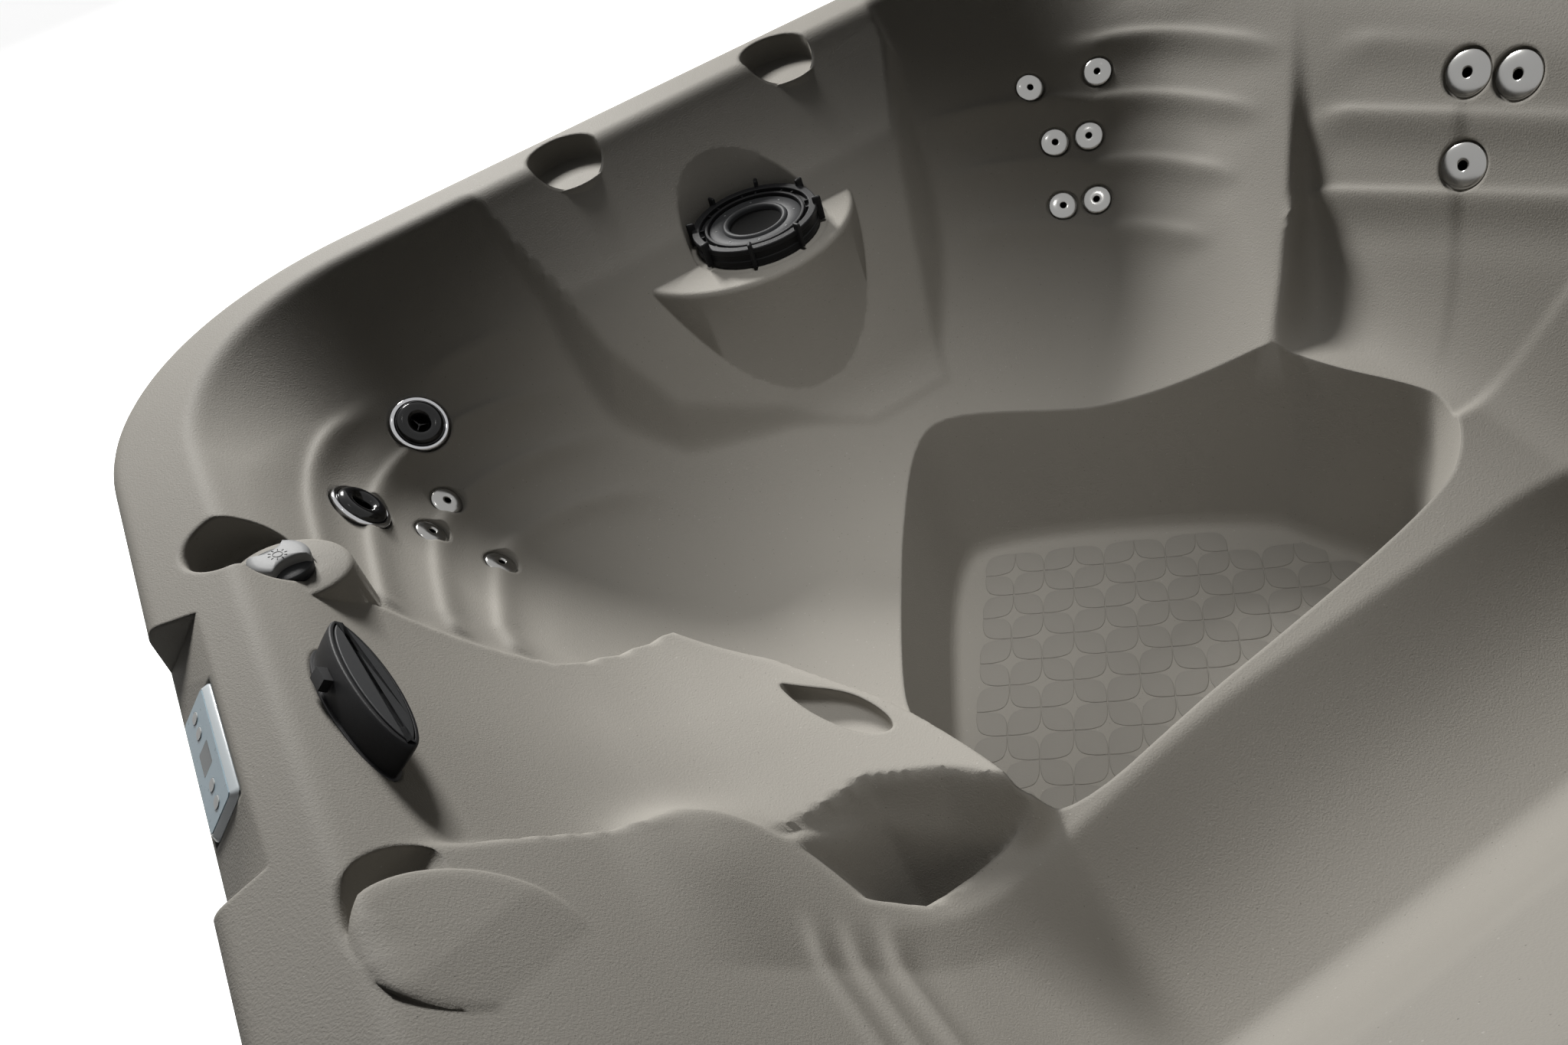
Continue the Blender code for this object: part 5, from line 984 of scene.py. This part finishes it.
def shape_housing():
    """Round filter housing on the shelf and the arched niche above it."""
    drum = [(0, -HOUSING_FOOT_DEPTH), (HOUSING_FOOT_RADIUS, -HOUSING_FOOT_DEPTH),
            (HOUSING_RADIUS, -HOUSING_EDGE)]
    drum += arc((HOUSING_RADIUS - HOUSING_EDGE, -HOUSING_EDGE), HOUSING_EDGE, 0, 90, 4) + [(0, 0)]
    place = Matrix.Translation((HOUSING_X_SHARE * HALF, HOUSING_Y_SHARE * HALF, LEDGE_Z))
    cutter(lathe(drum, 96), place, "UNION")
    end_x = NICHE_END_X_SHARE * HALF
    rings = []
    for height in (LEDGE_Z, 0.74, 0.79, RIM_Z + OVERRUN):
        middle_x = NICHE_BACK_X_SHARE * HALF + NICHE_HALF - NICHE_LEAN * (height - LEDGE_Z)
        plan = [(end_x, NICHE_HALF)] + arc((middle_x, 0), NICHE_HALF, 90, 270, 32)
        rings.append(raised(plan + [(end_x, -NICHE_HALF)], height))
    cutter(loft(rings))


def shape_well():
    """Footwell with steep walls and a rounded foot."""
    outline = scaled(WELL)
    rings = []
    for height, inside in ((WELL_FLOOR_Z, 0.018), (0.124, 0.010), (0.132, 0.004), (WELL_FOOT_Z, 0),
                           (WELL_EDGE_Z, 0), (WELL_TOP_Z, 0)):
        grow = (max(height, WELL_FOOT_Z) - WELL_EDGE_Z) / WELL_SLOPE - inside
        rings.append(raised(rounded_shares(offset_outline(outline, grow), 3), height))
    cutter(loft(rings))


def shape_pocket():
    """Leaf-shaped hollow in the front edge of the cool-down seat, with a rounded foot."""
    outline = scaled(rounded_shares(POCKET, 3))
    middle_x, middle_y = np.mean(outline, axis=0)
    rings = []
    for share, lift in ((0.70, 0.0), (0.80, 0.002), (0.86, 0.008), (1.0, 0.080)):
        rings.append([(middle_x + share * (x - middle_x), middle_y + share * (y - middle_y),
                       POCKET_Z + lift) for x, y in outline])
    cutter(loft(rings))


def shape_notch():
    """Slanted seat for the control panel in the front rim."""
    high = RIM_Z + 2 * OVERRUN
    front, back = -HALF - OVERRUN, -HALF + 2 * OVERRUN
    low_ring, high_ring = [], []
    for side, y in ((-1, front), (1, front), (1, back), (-1, back)):
        z = RIM_Z - NOTCH_SLOPE * (NOTCH_Y_SHARE * HALF - y)
        low_ring.append((side * NOTCH_HALF_X, y, z))
        high_ring.append((side * (NOTCH_HALF_X + (high - z) / NOTCH_END_SLOPE), y, high))
    cutter(loft([low_ring, high_ring]))


def flared(radius, depth, fillet, foot, sides=64):
    """Round cutter with a rounded foot and a flared mouth at height zero."""
    profile = [(0, -depth)]
    profile += arc((radius - foot, -depth + foot), foot, -90, 0, 6)
    profile += [(radius + fillet - fillet * math.cos(math.radians(a)),
                 -fillet + fillet * math.sin(math.radians(a))) for a in (0, 22, 45, 67, 90)]
    profile += [(radius + fillet, OVERRUN), (0, OVERRUN)]
    return lathe(profile, sides)


def boss_top(number, x, y):
    """Top of a boss beside its middle: tilted at the knob, and following the tub at the blank one."""
    if number == 0:
        return BOSS_TOP_Z - y * BOSS_TILT
    middle_x, middle_y = scaled(BOSSES)[number]
    tub = height_at(middle_x + x, middle_y + y)
    return min(tub + BLANK_LIFT - BLANK_DIVE_SLOPE * max(x + y, 0), RIM_Z - BLANK_CLEAR)


def shape_bosses():
    """Knob boss and blank boss, each beside its finger recess."""
    for number, (middle_x, middle_y) in enumerate(scaled(BOSSES)):
        place = Matrix.Translation((*scaled(RECESSES)[number], RIM_Z))
        stretch = Matrix.Diagonal((*RECESS_STRETCH[number], 1, 1))
        cutter(flared(RECESS_RADIUS, RECESS_DEPTH, 0.006, 0.012), place @ stretch)
        radius = BOSS_RADII[number]
        foot_z = BOSS_TOP_Z - BOSS_HEIGHT
        rings = [[(middle_x + x, middle_y + y, foot_z) for x, y in circle(radius, 72)]]
        edges = [(0.0, 0.005), (0.0015, 0.0015), (0.005, 0.0)]
        edges += [(radius * share, 0.0) for share in BOSS_RING_SHARES[number]]
        for inset, drop in edges:
            rings.append([(middle_x + x, middle_y + y, boss_top(number, x, y) - drop)
                          for x, y in circle(radius - inset, 72)])
        cutter(loft(rings), operation="UNION")


# Places and sizes of the fitted pieces
PLAY = 0.003
FALL_LENGTH = 0.207
FALL_WIDTH = 0.058
PANEL_LENGTH = 0.178
PANEL_WIDTH = 0.060
KNOB_PAD_RADIUS = 0.038
VALVE_RADIUS = 0.024
VALVE_LENGTH = 0.070
JET_RADII = {"seat1": 0.0235, "seat2": 0.0235, "seat3": 0.031}
JET_BORE = 0.0126
JET_STEM_LENGTH = 0.034
SWIRL_RADIUS = 0.043
SWIRL_BODY_RADIUS = 0.034
SWIRL_BODY_LENGTH = 0.060
GRILLE_RADIUS = 0.064
SUCTION_BODY = 0.030
DOOR_LENGTH_SHARE = 0.68
DOOR_BOTTOM_Z = 0.09
DOOR_TOP_Z = 0.51
DOOR_REACH = 0.025
DRAIN_X_SHARE = -0.93
DRAIN_Z = 0.075
DRAIN_BORE = 0.0253


def lens(length, width, count=96):
    """Outline with pointed ends and full sides."""
    points = []
    for k in range(count):
        angle = 2 * math.pi * k / count
        across = math.sin(angle)
        points.append((length / 2 * math.cos(angle), width / 2 * across * abs(across) ** 0.15))
    return points


def panel_place():
    """The panel's frame on the slant of its notch."""
    lean = math.atan(NOTCH_SLOPE)
    normal = Vector((0, -math.sin(lean), math.cos(lean)))
    y = -0.972 * HALF
    place = Vector((0, y, RIM_Z - NOTCH_SLOPE * (NOTCH_Y_SHARE * HALF - y)))
    side = Vector((1, 0, 0))
    turn = Matrix((side, normal.cross(side), normal)).transposed().to_4x4()
    return Matrix.Translation(place - normal * PLAY) @ turn


fall_frame = surface_frame(0.016 * HALF, -0.835 * HALF, 0.010) @ Matrix.Rotation(math.radians(7), 4, "Z")
panel_frame = panel_place()
knob_frame = joint_frame("diverter_turn")
suction_frame = frame_from(Vector((0.168 * HALF, -0.250 * HALF, 0.285)), Vector((0, 1, 0)))
small_jets = sorted(name[:-5] for name in joint_of if name.startswith("seat"))


def shape_shell():
    """Cuts and adds every feature, in the order that each needs."""
    shape_cups()
    shape_housing()
    shape_well()
    shape_pocket()
    shape_notch()
    shape_bosses()
    seat = Matrix.Translation((CANISTER_X_SHARE * HALF, 0, LEDGE_Z - LEDGE_PAD_DEPTH))
    seat_cutter(seat, LEDGE_PAD_RADIUS, CANISTER_RADIUS + GAP, CANISTER_DEPTH + GAP, 72)
    cutter(prism(lens(FALL_LENGTH + PLAY, FALL_WIDTH + PLAY, 48), 0, OVERRUN), fall_frame)
    seat_cutter(knob_frame, KNOB_PAD_RADIUS, VALVE_RADIUS + GAP, VALVE_LENGTH + GAP)
    outline = rounded_rectangle(PANEL_LENGTH + PLAY, PANEL_WIDTH + PLAY, PLAY)
    cutter(prism(outline, 0, OVERRUN), panel_frame)
    for name in small_jets:
        place = joint_frame(name + "_turn")
        seat_cutter(place, JET_RADII[name[:5]] + PLAY, JET_BORE, JET_STEM_LENGTH + GAP)
    for number in (1, 2):
        place = joint_frame(f"swirl_ring_{number}_turn")
        seat_cutter(place, SWIRL_RADIUS + PLAY, SWIRL_BODY_RADIUS + GAP, SWIRL_BODY_LENGTH + GAP)
    seat_cutter(suction_frame, GRILLE_RADIUS + PLAY, SUCTION_BODY + GAP, SUCTION_BODY + GAP)
    half = DOOR_LENGTH_SHARE * (HALF - CORNER_RADIUS)
    inner_y = -HALF + SKIRT_WALL + DOOR_REACH
    cutter(box((-half, -HALF - OVERRUN, DOOR_BOTTOM_Z), (half, inner_y, DOOR_TOP_Z)))
    place = Matrix.Translation((DRAIN_X_SHARE * (HALF - CORNER_RADIUS), -HALF, DRAIN_Z))
    drain = [(0, -OVERRUN), (DRAIN_BORE, -OVERRUN), (DRAIN_BORE, OVERRUN), (0, OVERRUN)]
    cutter(lathe(drain, 40), place @ Matrix.Rotation(math.radians(90), 4, "X"))


CELLS = 380
shape_shell()
piece("tub_shell_fine", cut_all("shell_base", shell_mesh(CELLS, UNDER_CELLS)), shell_plastic, "tub",
      ("tub_shell",), angle=48)


# Footwell floor: raised leaf-shaped treads in fours round each crossing of a slanted lattice
TREAD_ORIGIN = Vector((0.0248, 0.0501))
TREAD_SIDES = (Vector((0.0640, 0.0085)), Vector((-0.0085, 0.0680)))
TREAD_GROOVE = 0.0022
TREAD_MARGIN = 0.054
TREAD_REACH = 9


def tread_leaf(length):
    """One leaf along x with pointed ends and a rounded top edge."""
    reach = length - TREAD_GROOVE
    half = []
    for t in np.linspace(0, 1, 17):
        wide = 0.35 * reach * (1 - abs(2 * t - 1) ** 1.7)
        half.append((TREAD_GROOVE / 2 + reach * t, wide))
    outline = [(x, -wide) for x, wide in half] + [(x, wide) for x, wide in half[-2:0:-1]]
    return prism(outline, -0.001, 0.0014, 0.0010, 2)


def make_treads():
    edge = rounded_shares(WELL, 3)
    meshes = []
    for side in TREAD_SIDES:
        leaf = tread_leaf(side.length)
        turn = Matrix.Rotation(math.atan2(side.y, side.x), 4, "Z")
        for i in range(-TREAD_REACH, TREAD_REACH + 1):
            for j in range(-TREAD_REACH, TREAD_REACH + 1):
                start = TREAD_ORIGIN + TREAD_SIDES[0] * i + TREAD_SIDES[1] * j
                ends = np.array([start, start + side / 2, start + side])
                if np.max(region_distance(ends[:, 0], ends[:, 1], edge)) <= -TREAD_MARGIN:
                    meshes.append((leaf, Matrix.Translation((start.x, start.y, WELL_FLOOR_Z)) @ turn))
    # The treads take the darker copy of the shell plastic: painted shade
    piece("footwell_treads", joined(meshes), shaded_tread_plastic, "tub", angle=60)


def mark_faces(mesh, radius, low):
    """Gives the faces near the axis and below a height the second material, the painted shade inside a
    hole.
    """
    for face in mesh.polygons:
        if math.hypot(face.center.x, face.center.y) < radius and face.center.z < low:
            face.material_index = 1


JET_DOME = ((0.985, 0.0027), (0.94, 0.0037), (0.84, 0.0049), (0.70, 0.0060), (0.54, 0.0067),
            (0.38, 0.0070), (0.27, 0.0068), (0.225, 0.0062), (0.20, 0.0048), (0.19, -0.006))


def make_small_jets():
    """Domed steel faces on their stems, the inside of each hole painted near-black as shade."""
    for name in small_jets:
        r = JET_RADII[name[:5]]
        stem = 0.012
        profile = [(0, -JET_STEM_LENGTH), (stem, -JET_STEM_LENGTH), (stem, GAP), (r - 0.0006, GAP),
                   (r, 0.0010), (r, 0.0018)]
        profile += [(r * share, height) for share, height in JET_DOME] + [(0, -0.006)]
        mesh = lathe(profile, 56)
        piece(name + "_face", mesh, (steel, hole_shade), name + "_face", (name,),
              joint_frame(name + "_turn"), 50)
        # The hole's inner faces take the near-black material: painted shade
        mark_faces(mesh, r * 0.215, 0.0052)


def swirl_face():
    """Dark dished face with three short bars and a hub in its eye."""
    face = [(0.0, -0.010), (0.0334, -0.010), (0.0334, 0.0012), (0.0358, 0.0012), (0.0358, 0.0085)]
    face += arc((0.0238, 0.0072), 0.0118, 10, 172, 18)
    face += [(0.0116, 0.004), (0.0112, -0.004), (0.0, -0.004)]
    bar = prism(rounded_rectangle(0.0110, 0.0026, 0.0012, 3), -0.005, 0.0035, 0.0008, 2)
    hub = prism(circle(0.0026, 12), -0.005, 0.0042, 0.0008, 2)
    parts = [(lathe(face, 72), Matrix.Identity(4))]
    parts += [(bar, place) for place in around(3, 0.0062, 0.75)]
    return joined(parts + [(hub, Matrix.Identity(4))])


def make_swirl_jets():
    for number in (1, 2):
        place = joint_frame(f"swirl_ring_{number}_turn")
        ring = [(0.0362, 0.0005), (0.0425, 0.0005), (SWIRL_RADIUS, 0.0016)]
        ring += arc((0.0385, 0.0062), 0.0046, -10, 110, 10) + [(0.0362, 0.0100)]
        piece(f"swirl_ring_{number}_bezel", lathe(ring, 72), chrome, f"swirl_ring_{number}",
              (f"swirl_jet_{number}_ring",), place, 50)
        mesh = swirl_face()
        piece(f"swirl_nozzle_{number}_face", mesh, (graphite_gloss, hole_shade), f"swirl_nozzle_{number}",
              (f"swirl_jet_{number}_nozzle",), place, 50)
        # The eye's inner faces take the near-black material: painted shade
        mark_faces(mesh, 0.0113, -0.0036)


def make_lock_ring():
    """Two flat rings and an inner collar joined by a web, an outer wall, bars and finger lugs."""
    lower = [(0.0745, 0.0), (0.0955, 0.0), (0.0965, 0.001), (0.0965, 0.008), (0.0955, 0.009),
             (0.0745, 0.009)]
    upper = [(0.086, 0.0195), (0.0970, 0.0195), (0.098, 0.0205), (0.098, 0.0268), (0.0968, 0.028),
             (0.087, 0.028), (0.086, 0.027)]
    collar = [(0.0735, 0.0), (0.0785, 0.0), (0.0785, 0.0245), (0.0775, 0.0255), (0.0745, 0.0255),
              (0.0735, 0.0245)]
    web = [(0.0765, 0.012), (0.088, 0.0195), (0.088, 0.0215), (0.0765, 0.0145)]
    wall = [(0.0915, 0.004), (0.0950, 0.004), (0.0950, 0.0205), (0.0915, 0.0205)]
    parts = [(lathe(profile, 96), Matrix.Identity(4)) for profile in (lower, upper, collar, web, wall)]
    bar = prism(rounded_rectangle(0.0085, 0.0024, 0.0008, 2), 0.004, 0.024)
    parts += [(bar, place) for k, place in enumerate(around(24, 0.0845)) if k % 3]
    lug = prism(rounded_rectangle(0.0130, 0.0056, 0.0024, 4), 0.001, 0.0385, 0.0024, 4)
    parts += [(lug, place) for place in around(8, 0.0988, 0.3)]
    piece("lock_ring_lugged", joined(parts), black_grain, "filter_lock_ring",
          ("filter_lock_ring",), joint_frame("lock_ring_turn"), 40)


def make_weir_disc():
    """Grooved disc inside the lock ring with eight pins, and a near-black disc down its bore as painted
    shade.
    """
    place = joint_frame("lock_ring_turn") @ Matrix.Translation((0, 0, -0.0035))
    top = 0.0285
    floor = top - 0.0042
    # Near-black disc set down the bore of the weir disc: painted shade in the hole
    shade_throat = lathe([(0, top - 0.020), (0.0412, top - 0.020), (0.0412, top - 0.009), (0, top - 0.0115)], 48)
    piece("weir_throat", shade_throat, hole_shade, "filter_cartridge", place=place)
    disc = [(0.0415, top - 0.014), (0.0725, top - 0.014), (0.0725, top - 0.006)]
    disc += [(0.0700, floor), (0.0540, floor), (0.0515, top - 0.0050)]
    disc += arc((0.0465, top - 0.0055), 0.0045, 20, 180, 8) + [(0.0415, top - 0.009)]
    piece("weir_disc_turned", lathe(disc, 96), graphite, "filter_cartridge",
          ("filter_weir_disc",), place, 40)
    pin = [(0, top - 0.0080), (0.0017, top - 0.0080), (0.0017, floor), (0.0010, top - 0.0036),
           (0, top - 0.0036)]
    pins = joined([(lathe(pin, 16), spot) for spot in around(8, 0.0615, 0.5)])
    piece("weir_disc_pins", pins, light_grey, "filter_cartridge", place=place)


def make_waterfall():
    """Leaf-shaped shroud with a hollow edge, a slotted face in it and a foot."""
    top = 0.048
    outline = lens(FALL_LENGTH, FALL_WIDTH)
    rings = []
    for height, grow in ((GAP, -0.003), (0.010, -0.0022), (0.030, -0.0004), (0.0425, 0.0)):
        rings.append(raised(offset_outline(outline, grow), height))
    rings += rounded_top(outline, top, 0.0028, 4)[1:]
    for inset, height in ((0.0045, top), (0.0052, top - 0.004)):
        rings.append(raised(offset_outline(outline, -inset), height))
    shroud = loft(rings)
    shroud.transform(fall_frame)
    piece("waterfall_shroud", shroud, black_grain, "tub", ("waterfall_body",), angle=50)
    slot = prism(rounded_rectangle(FALL_LENGTH * 0.74, 0.0044, 0.002, 4), top - 0.0020, top + 0.03)
    cutter(slot, fall_frame)
    plate = prism(offset_outline(outline, -0.0062), top - 0.0040, top + 0.0012, 0.0014, 4)
    mesh = cut_all("plate", plate, fall_frame)
    piece("waterfall_face", mesh, (graphite, hole_shade), "tub",
          ("waterfall_plate",), angle=45)
    # The slot's floor faces take the near-black material: painted shade
    for face in mesh.polygons:
        if top - 0.0025 < face.center.z < top - 0.0015 and abs(face.center.y) < 0.0021:
            face.material_index = 1
    mesh.transform(fall_frame)
    foot = prism(offset_outline(outline, 0.0012), 0.006, 0.0105, 0.001, 2)
    piece("waterfall_foot", foot, black_plastic, "tub", place=fall_frame)


def make_knob():
    """Turned base, a waisted grip across it, and the printed marks."""
    base = [(0, GAP), (0.0345, GAP), (0.0355, 0.0015), (0.0355, 0.0075)]
    base += arc((0.0330, 0.0095), 0.0025, 0, 90, 5) + [(0.030, 0.0132), (0.0, 0.0140)]
    piece("knob_base", lathe(base, 96), graphite, "diverter_knob",
          ("diverter_knob",), knob_frame, 50)
    radius, waist, flare = 0.0348, 0.0150, 0.0200
    outline = []
    for across, along in circle(radius, 96):
        width = min(waist + flare * (along / radius) ** 2, abs(across))
        outline.append((math.copysign(width, across), along))
    rings = []
    for height, scale in ((0.0035, 1.0), (0.0160, 1.0), (0.0195, 0.985), (0.0218, 0.95), (0.0234, 0.88),
                          (0.0243, 0.75), (0.0247, 0.50), (0.0248, 0.20)):
        rings.append(raised([(x * scale, y * scale) for x, y in outline], height))
    place = knob_frame @ Matrix.Rotation(math.radians(25), 4, "Z")
    piece("knob_grip", loft(rings), light_grey, "diverter_knob",
          ("diverter_knob_grip",), place, 45)
    bar = prism(rounded_rectangle(0.0034, 0.0012, 0.0005, 2), 0.0240, 0.0252, 0.0003, 2)
    halo = [(0.0048, 0.0244), (0.0058, 0.0244), (0.0058, 0.0252), (0.0048, 0.0252)]
    marks = [(bar, spot) for spot in around(10, 0.0092)] + [(lathe(halo, 32), Matrix.Identity(4))]
    piece("knob_mark", joined(marks), graphite, "diverter_knob", place=place)


GRILLE_HEIGHT = 0.030
GRILLE_WALL = 0.003
GRILLE_PITCH = 0.0078
GRILLE_HOLE = 0.0021
GRILLE_DOME = ((1.0, 0.0), (1.0, 0.30), (0.985, 0.42), (0.955, 0.54), (0.90, 0.65), (0.80, 0.77),
               (0.66, 0.87), (0.46, 0.95), (0.24, 0.99))
GRILLE_ROWS = ((1.0, 0.012, 90), (0.985, 0.0175, 72), (0.93, 0.021, 55), (0.82, 0.0245, 35),
               (0.69, 0.0265, 24), (0.56, 0.028, 15), (0.43, 0.029, 8), (0.30, 0.0295, 4),
               (0.16, 0.030, 2))


def make_grille():
    """Thin dome with rows of small holes square to it."""
    outer = [(GRILLE_RADIUS * r, GAP + GRILLE_HEIGHT * z) for r, z in GRILLE_DOME]
    inner = [((GRILLE_RADIUS - GRILLE_WALL) * r, GAP + (GRILLE_HEIGHT - GRILLE_WALL) * z)
             for r, z in GRILLE_DOME[::-1]]
    profile = outer + [(0, GAP + GRILLE_HEIGHT), (0, GAP + GRILLE_HEIGHT - GRILLE_WALL)] + inner
    tip = prism(circle(GRILLE_HOLE, 6), -2 * GRILLE_WALL, 2 * GRILLE_WALL)
    holes = []
    for row, (share, height, lean) in enumerate(GRILLE_ROWS):
        count = max(6, int(2 * math.pi * GRILLE_RADIUS * share / GRILLE_PITCH))
        tilt = Matrix.Translation((0, 0, height)) @ Matrix.Rotation(math.radians(lean), 4, "Y")
        for place in around(count, GRILLE_RADIUS * share - GRILLE_WALL / 2, 0.5 * (row % 2)):
            holes.append((tip, place @ tilt))
    cutter(joined(holes))
    piece("grille_perforated", cut_all("dome", lathe(profile, 96)), black_plastic, "tub",
          ("suction_grille",), suction_frame, 35)


def make_panel():
    """Frosted frame with a bevelled edge and a raised bead."""
    outline = rounded_rectangle(PANEL_LENGTH, PANEL_WIDTH, 0.010)
    rings = []
    for inset, height in ((0.0, GAP), (0.0, 0.0030), (0.0008, 0.0042), (0.0052, 0.0084),
                          (0.0062, 0.0088), (0.0072, 0.0084), (0.0076, 0.0076)):
        rings.append(raised(offset_outline(outline, -inset), height))
    piece("panel_frame_bevelled", loft(rings), clear_frame, "tub",
          ("panel_case",), panel_frame, 30)


def make_camera():
    """Camera at the photograph's place."""
    camera = bpy.data.objects.new("camera", bpy.data.cameras.new("camera"))
    camera.data.sensor_width = 36.0
    camera.data.lens = 29.883
    camera.data.clip_end = 100.0
    turn = Matrix(((0.48291395, -0.47754599, 0.73399179),
                   (0.83880889, 0.49290196, -0.23118673),
                   (-0.2513837, 0.72732213, 0.63859905)))
    camera.matrix_world = Matrix.Translation((1.051, -0.646, 1.621)) @ turn.to_4x4()
    bpy.context.scene.collection.objects.link(camera)
    bpy.context.scene.camera = camera


def area_light(name, place, side, power, target, spread=180):
    """Square light that faces a target, with its spread in degrees."""
    light = bpy.data.lights.new(name, "AREA")
    light.shape = "RECTANGLE"
    light.size, light.size_y = side, side
    light.energy = power
    light.color = (1.0, 0.99, 0.97)
    light.spread = math.radians(spread)
    made = bpy.data.objects.new(name, light)
    made.location = place
    made.rotation_euler = (Vector(target) - Vector(place)).to_track_quat("-Z", "Y").to_euler()
    bpy.context.scene.collection.objects.link(made)


def make_world():
    """White where the camera, a reflection or a clear piece looks, and dim as a light."""
    world = bpy.data.worlds.new("studio")
    bpy.context.scene.world = world
    world.use_nodes = True
    tree = world.node_tree
    tree.nodes.clear()
    soft = add_node(tree, "ShaderNodeBackground", Color=(1, 1, 1, 1), Strength=0.01)
    white = add_node(tree, "ShaderNodeBackground", Color=(1, 1, 1, 1), Strength=1.0)
    path = add_node(tree, "ShaderNodeLightPath")
    seen = math_node(tree, "MAXIMUM", path.outputs["Is Camera Ray"], path.outputs["Is Glossy Ray"])
    seen = math_node(tree, "MAXIMUM", seen, path.outputs["Is Transmission Ray"])
    choice = add_node(tree, "ShaderNodeMixShader")
    tree.links.new(seen, choice.inputs[0])
    tree.links.new(soft.outputs[0], choice.inputs[1])
    tree.links.new(white.outputs[0], choice.inputs[2])
    tree.links.new(choice.outputs[0], add_node(tree, "ShaderNodeOutputWorld").inputs[0])


def make_floor():
    """Pale floor that keeps the shadow of the tub."""
    reach = 12
    corners = [(-reach, -reach, 0), (reach, -reach, 0), (reach, reach, 0), (-reach, reach, 0)]
    mesh = mesh_from(corners, [(0, 1, 2, 3)])
    floor = bpy.data.objects.new("floor", mesh)
    bpy.context.scene.collection.objects.link(floor)
    made, tree, shader = new_material("studio_floor", (0.90, 0.90, 0.90), 0.8)
    path = add_node(tree, "ShaderNodeLightPath")
    glow = math_node(tree, "MULTIPLY", path.outputs["Is Camera Ray"], 0.88)
    tree.links.new(glow, shader.inputs["Emission Strength"])
    shader.inputs["Emission Color"].default_value = (1, 1, 1, 1)
    mesh.materials.append(made)


make_treads()
make_small_jets()
make_swirl_jets()
make_lock_ring()
make_weir_disc()
make_waterfall()
make_knob()
make_grille()
make_panel()
make_camera()
area_light("key_soft", (-5.2, 0.2, 3.8), 1.3, 600, (0, 0, 0.4))
area_light("well_soft", (-0.15, -0.05, 3.0), 0.3, 2.0, (-0.15, -0.05, 0), spread=33.4)
make_world()
make_floor()

view = bpy.context.scene.view_settings
view.view_transform = "Standard"

bpy.context.view_layer.update()
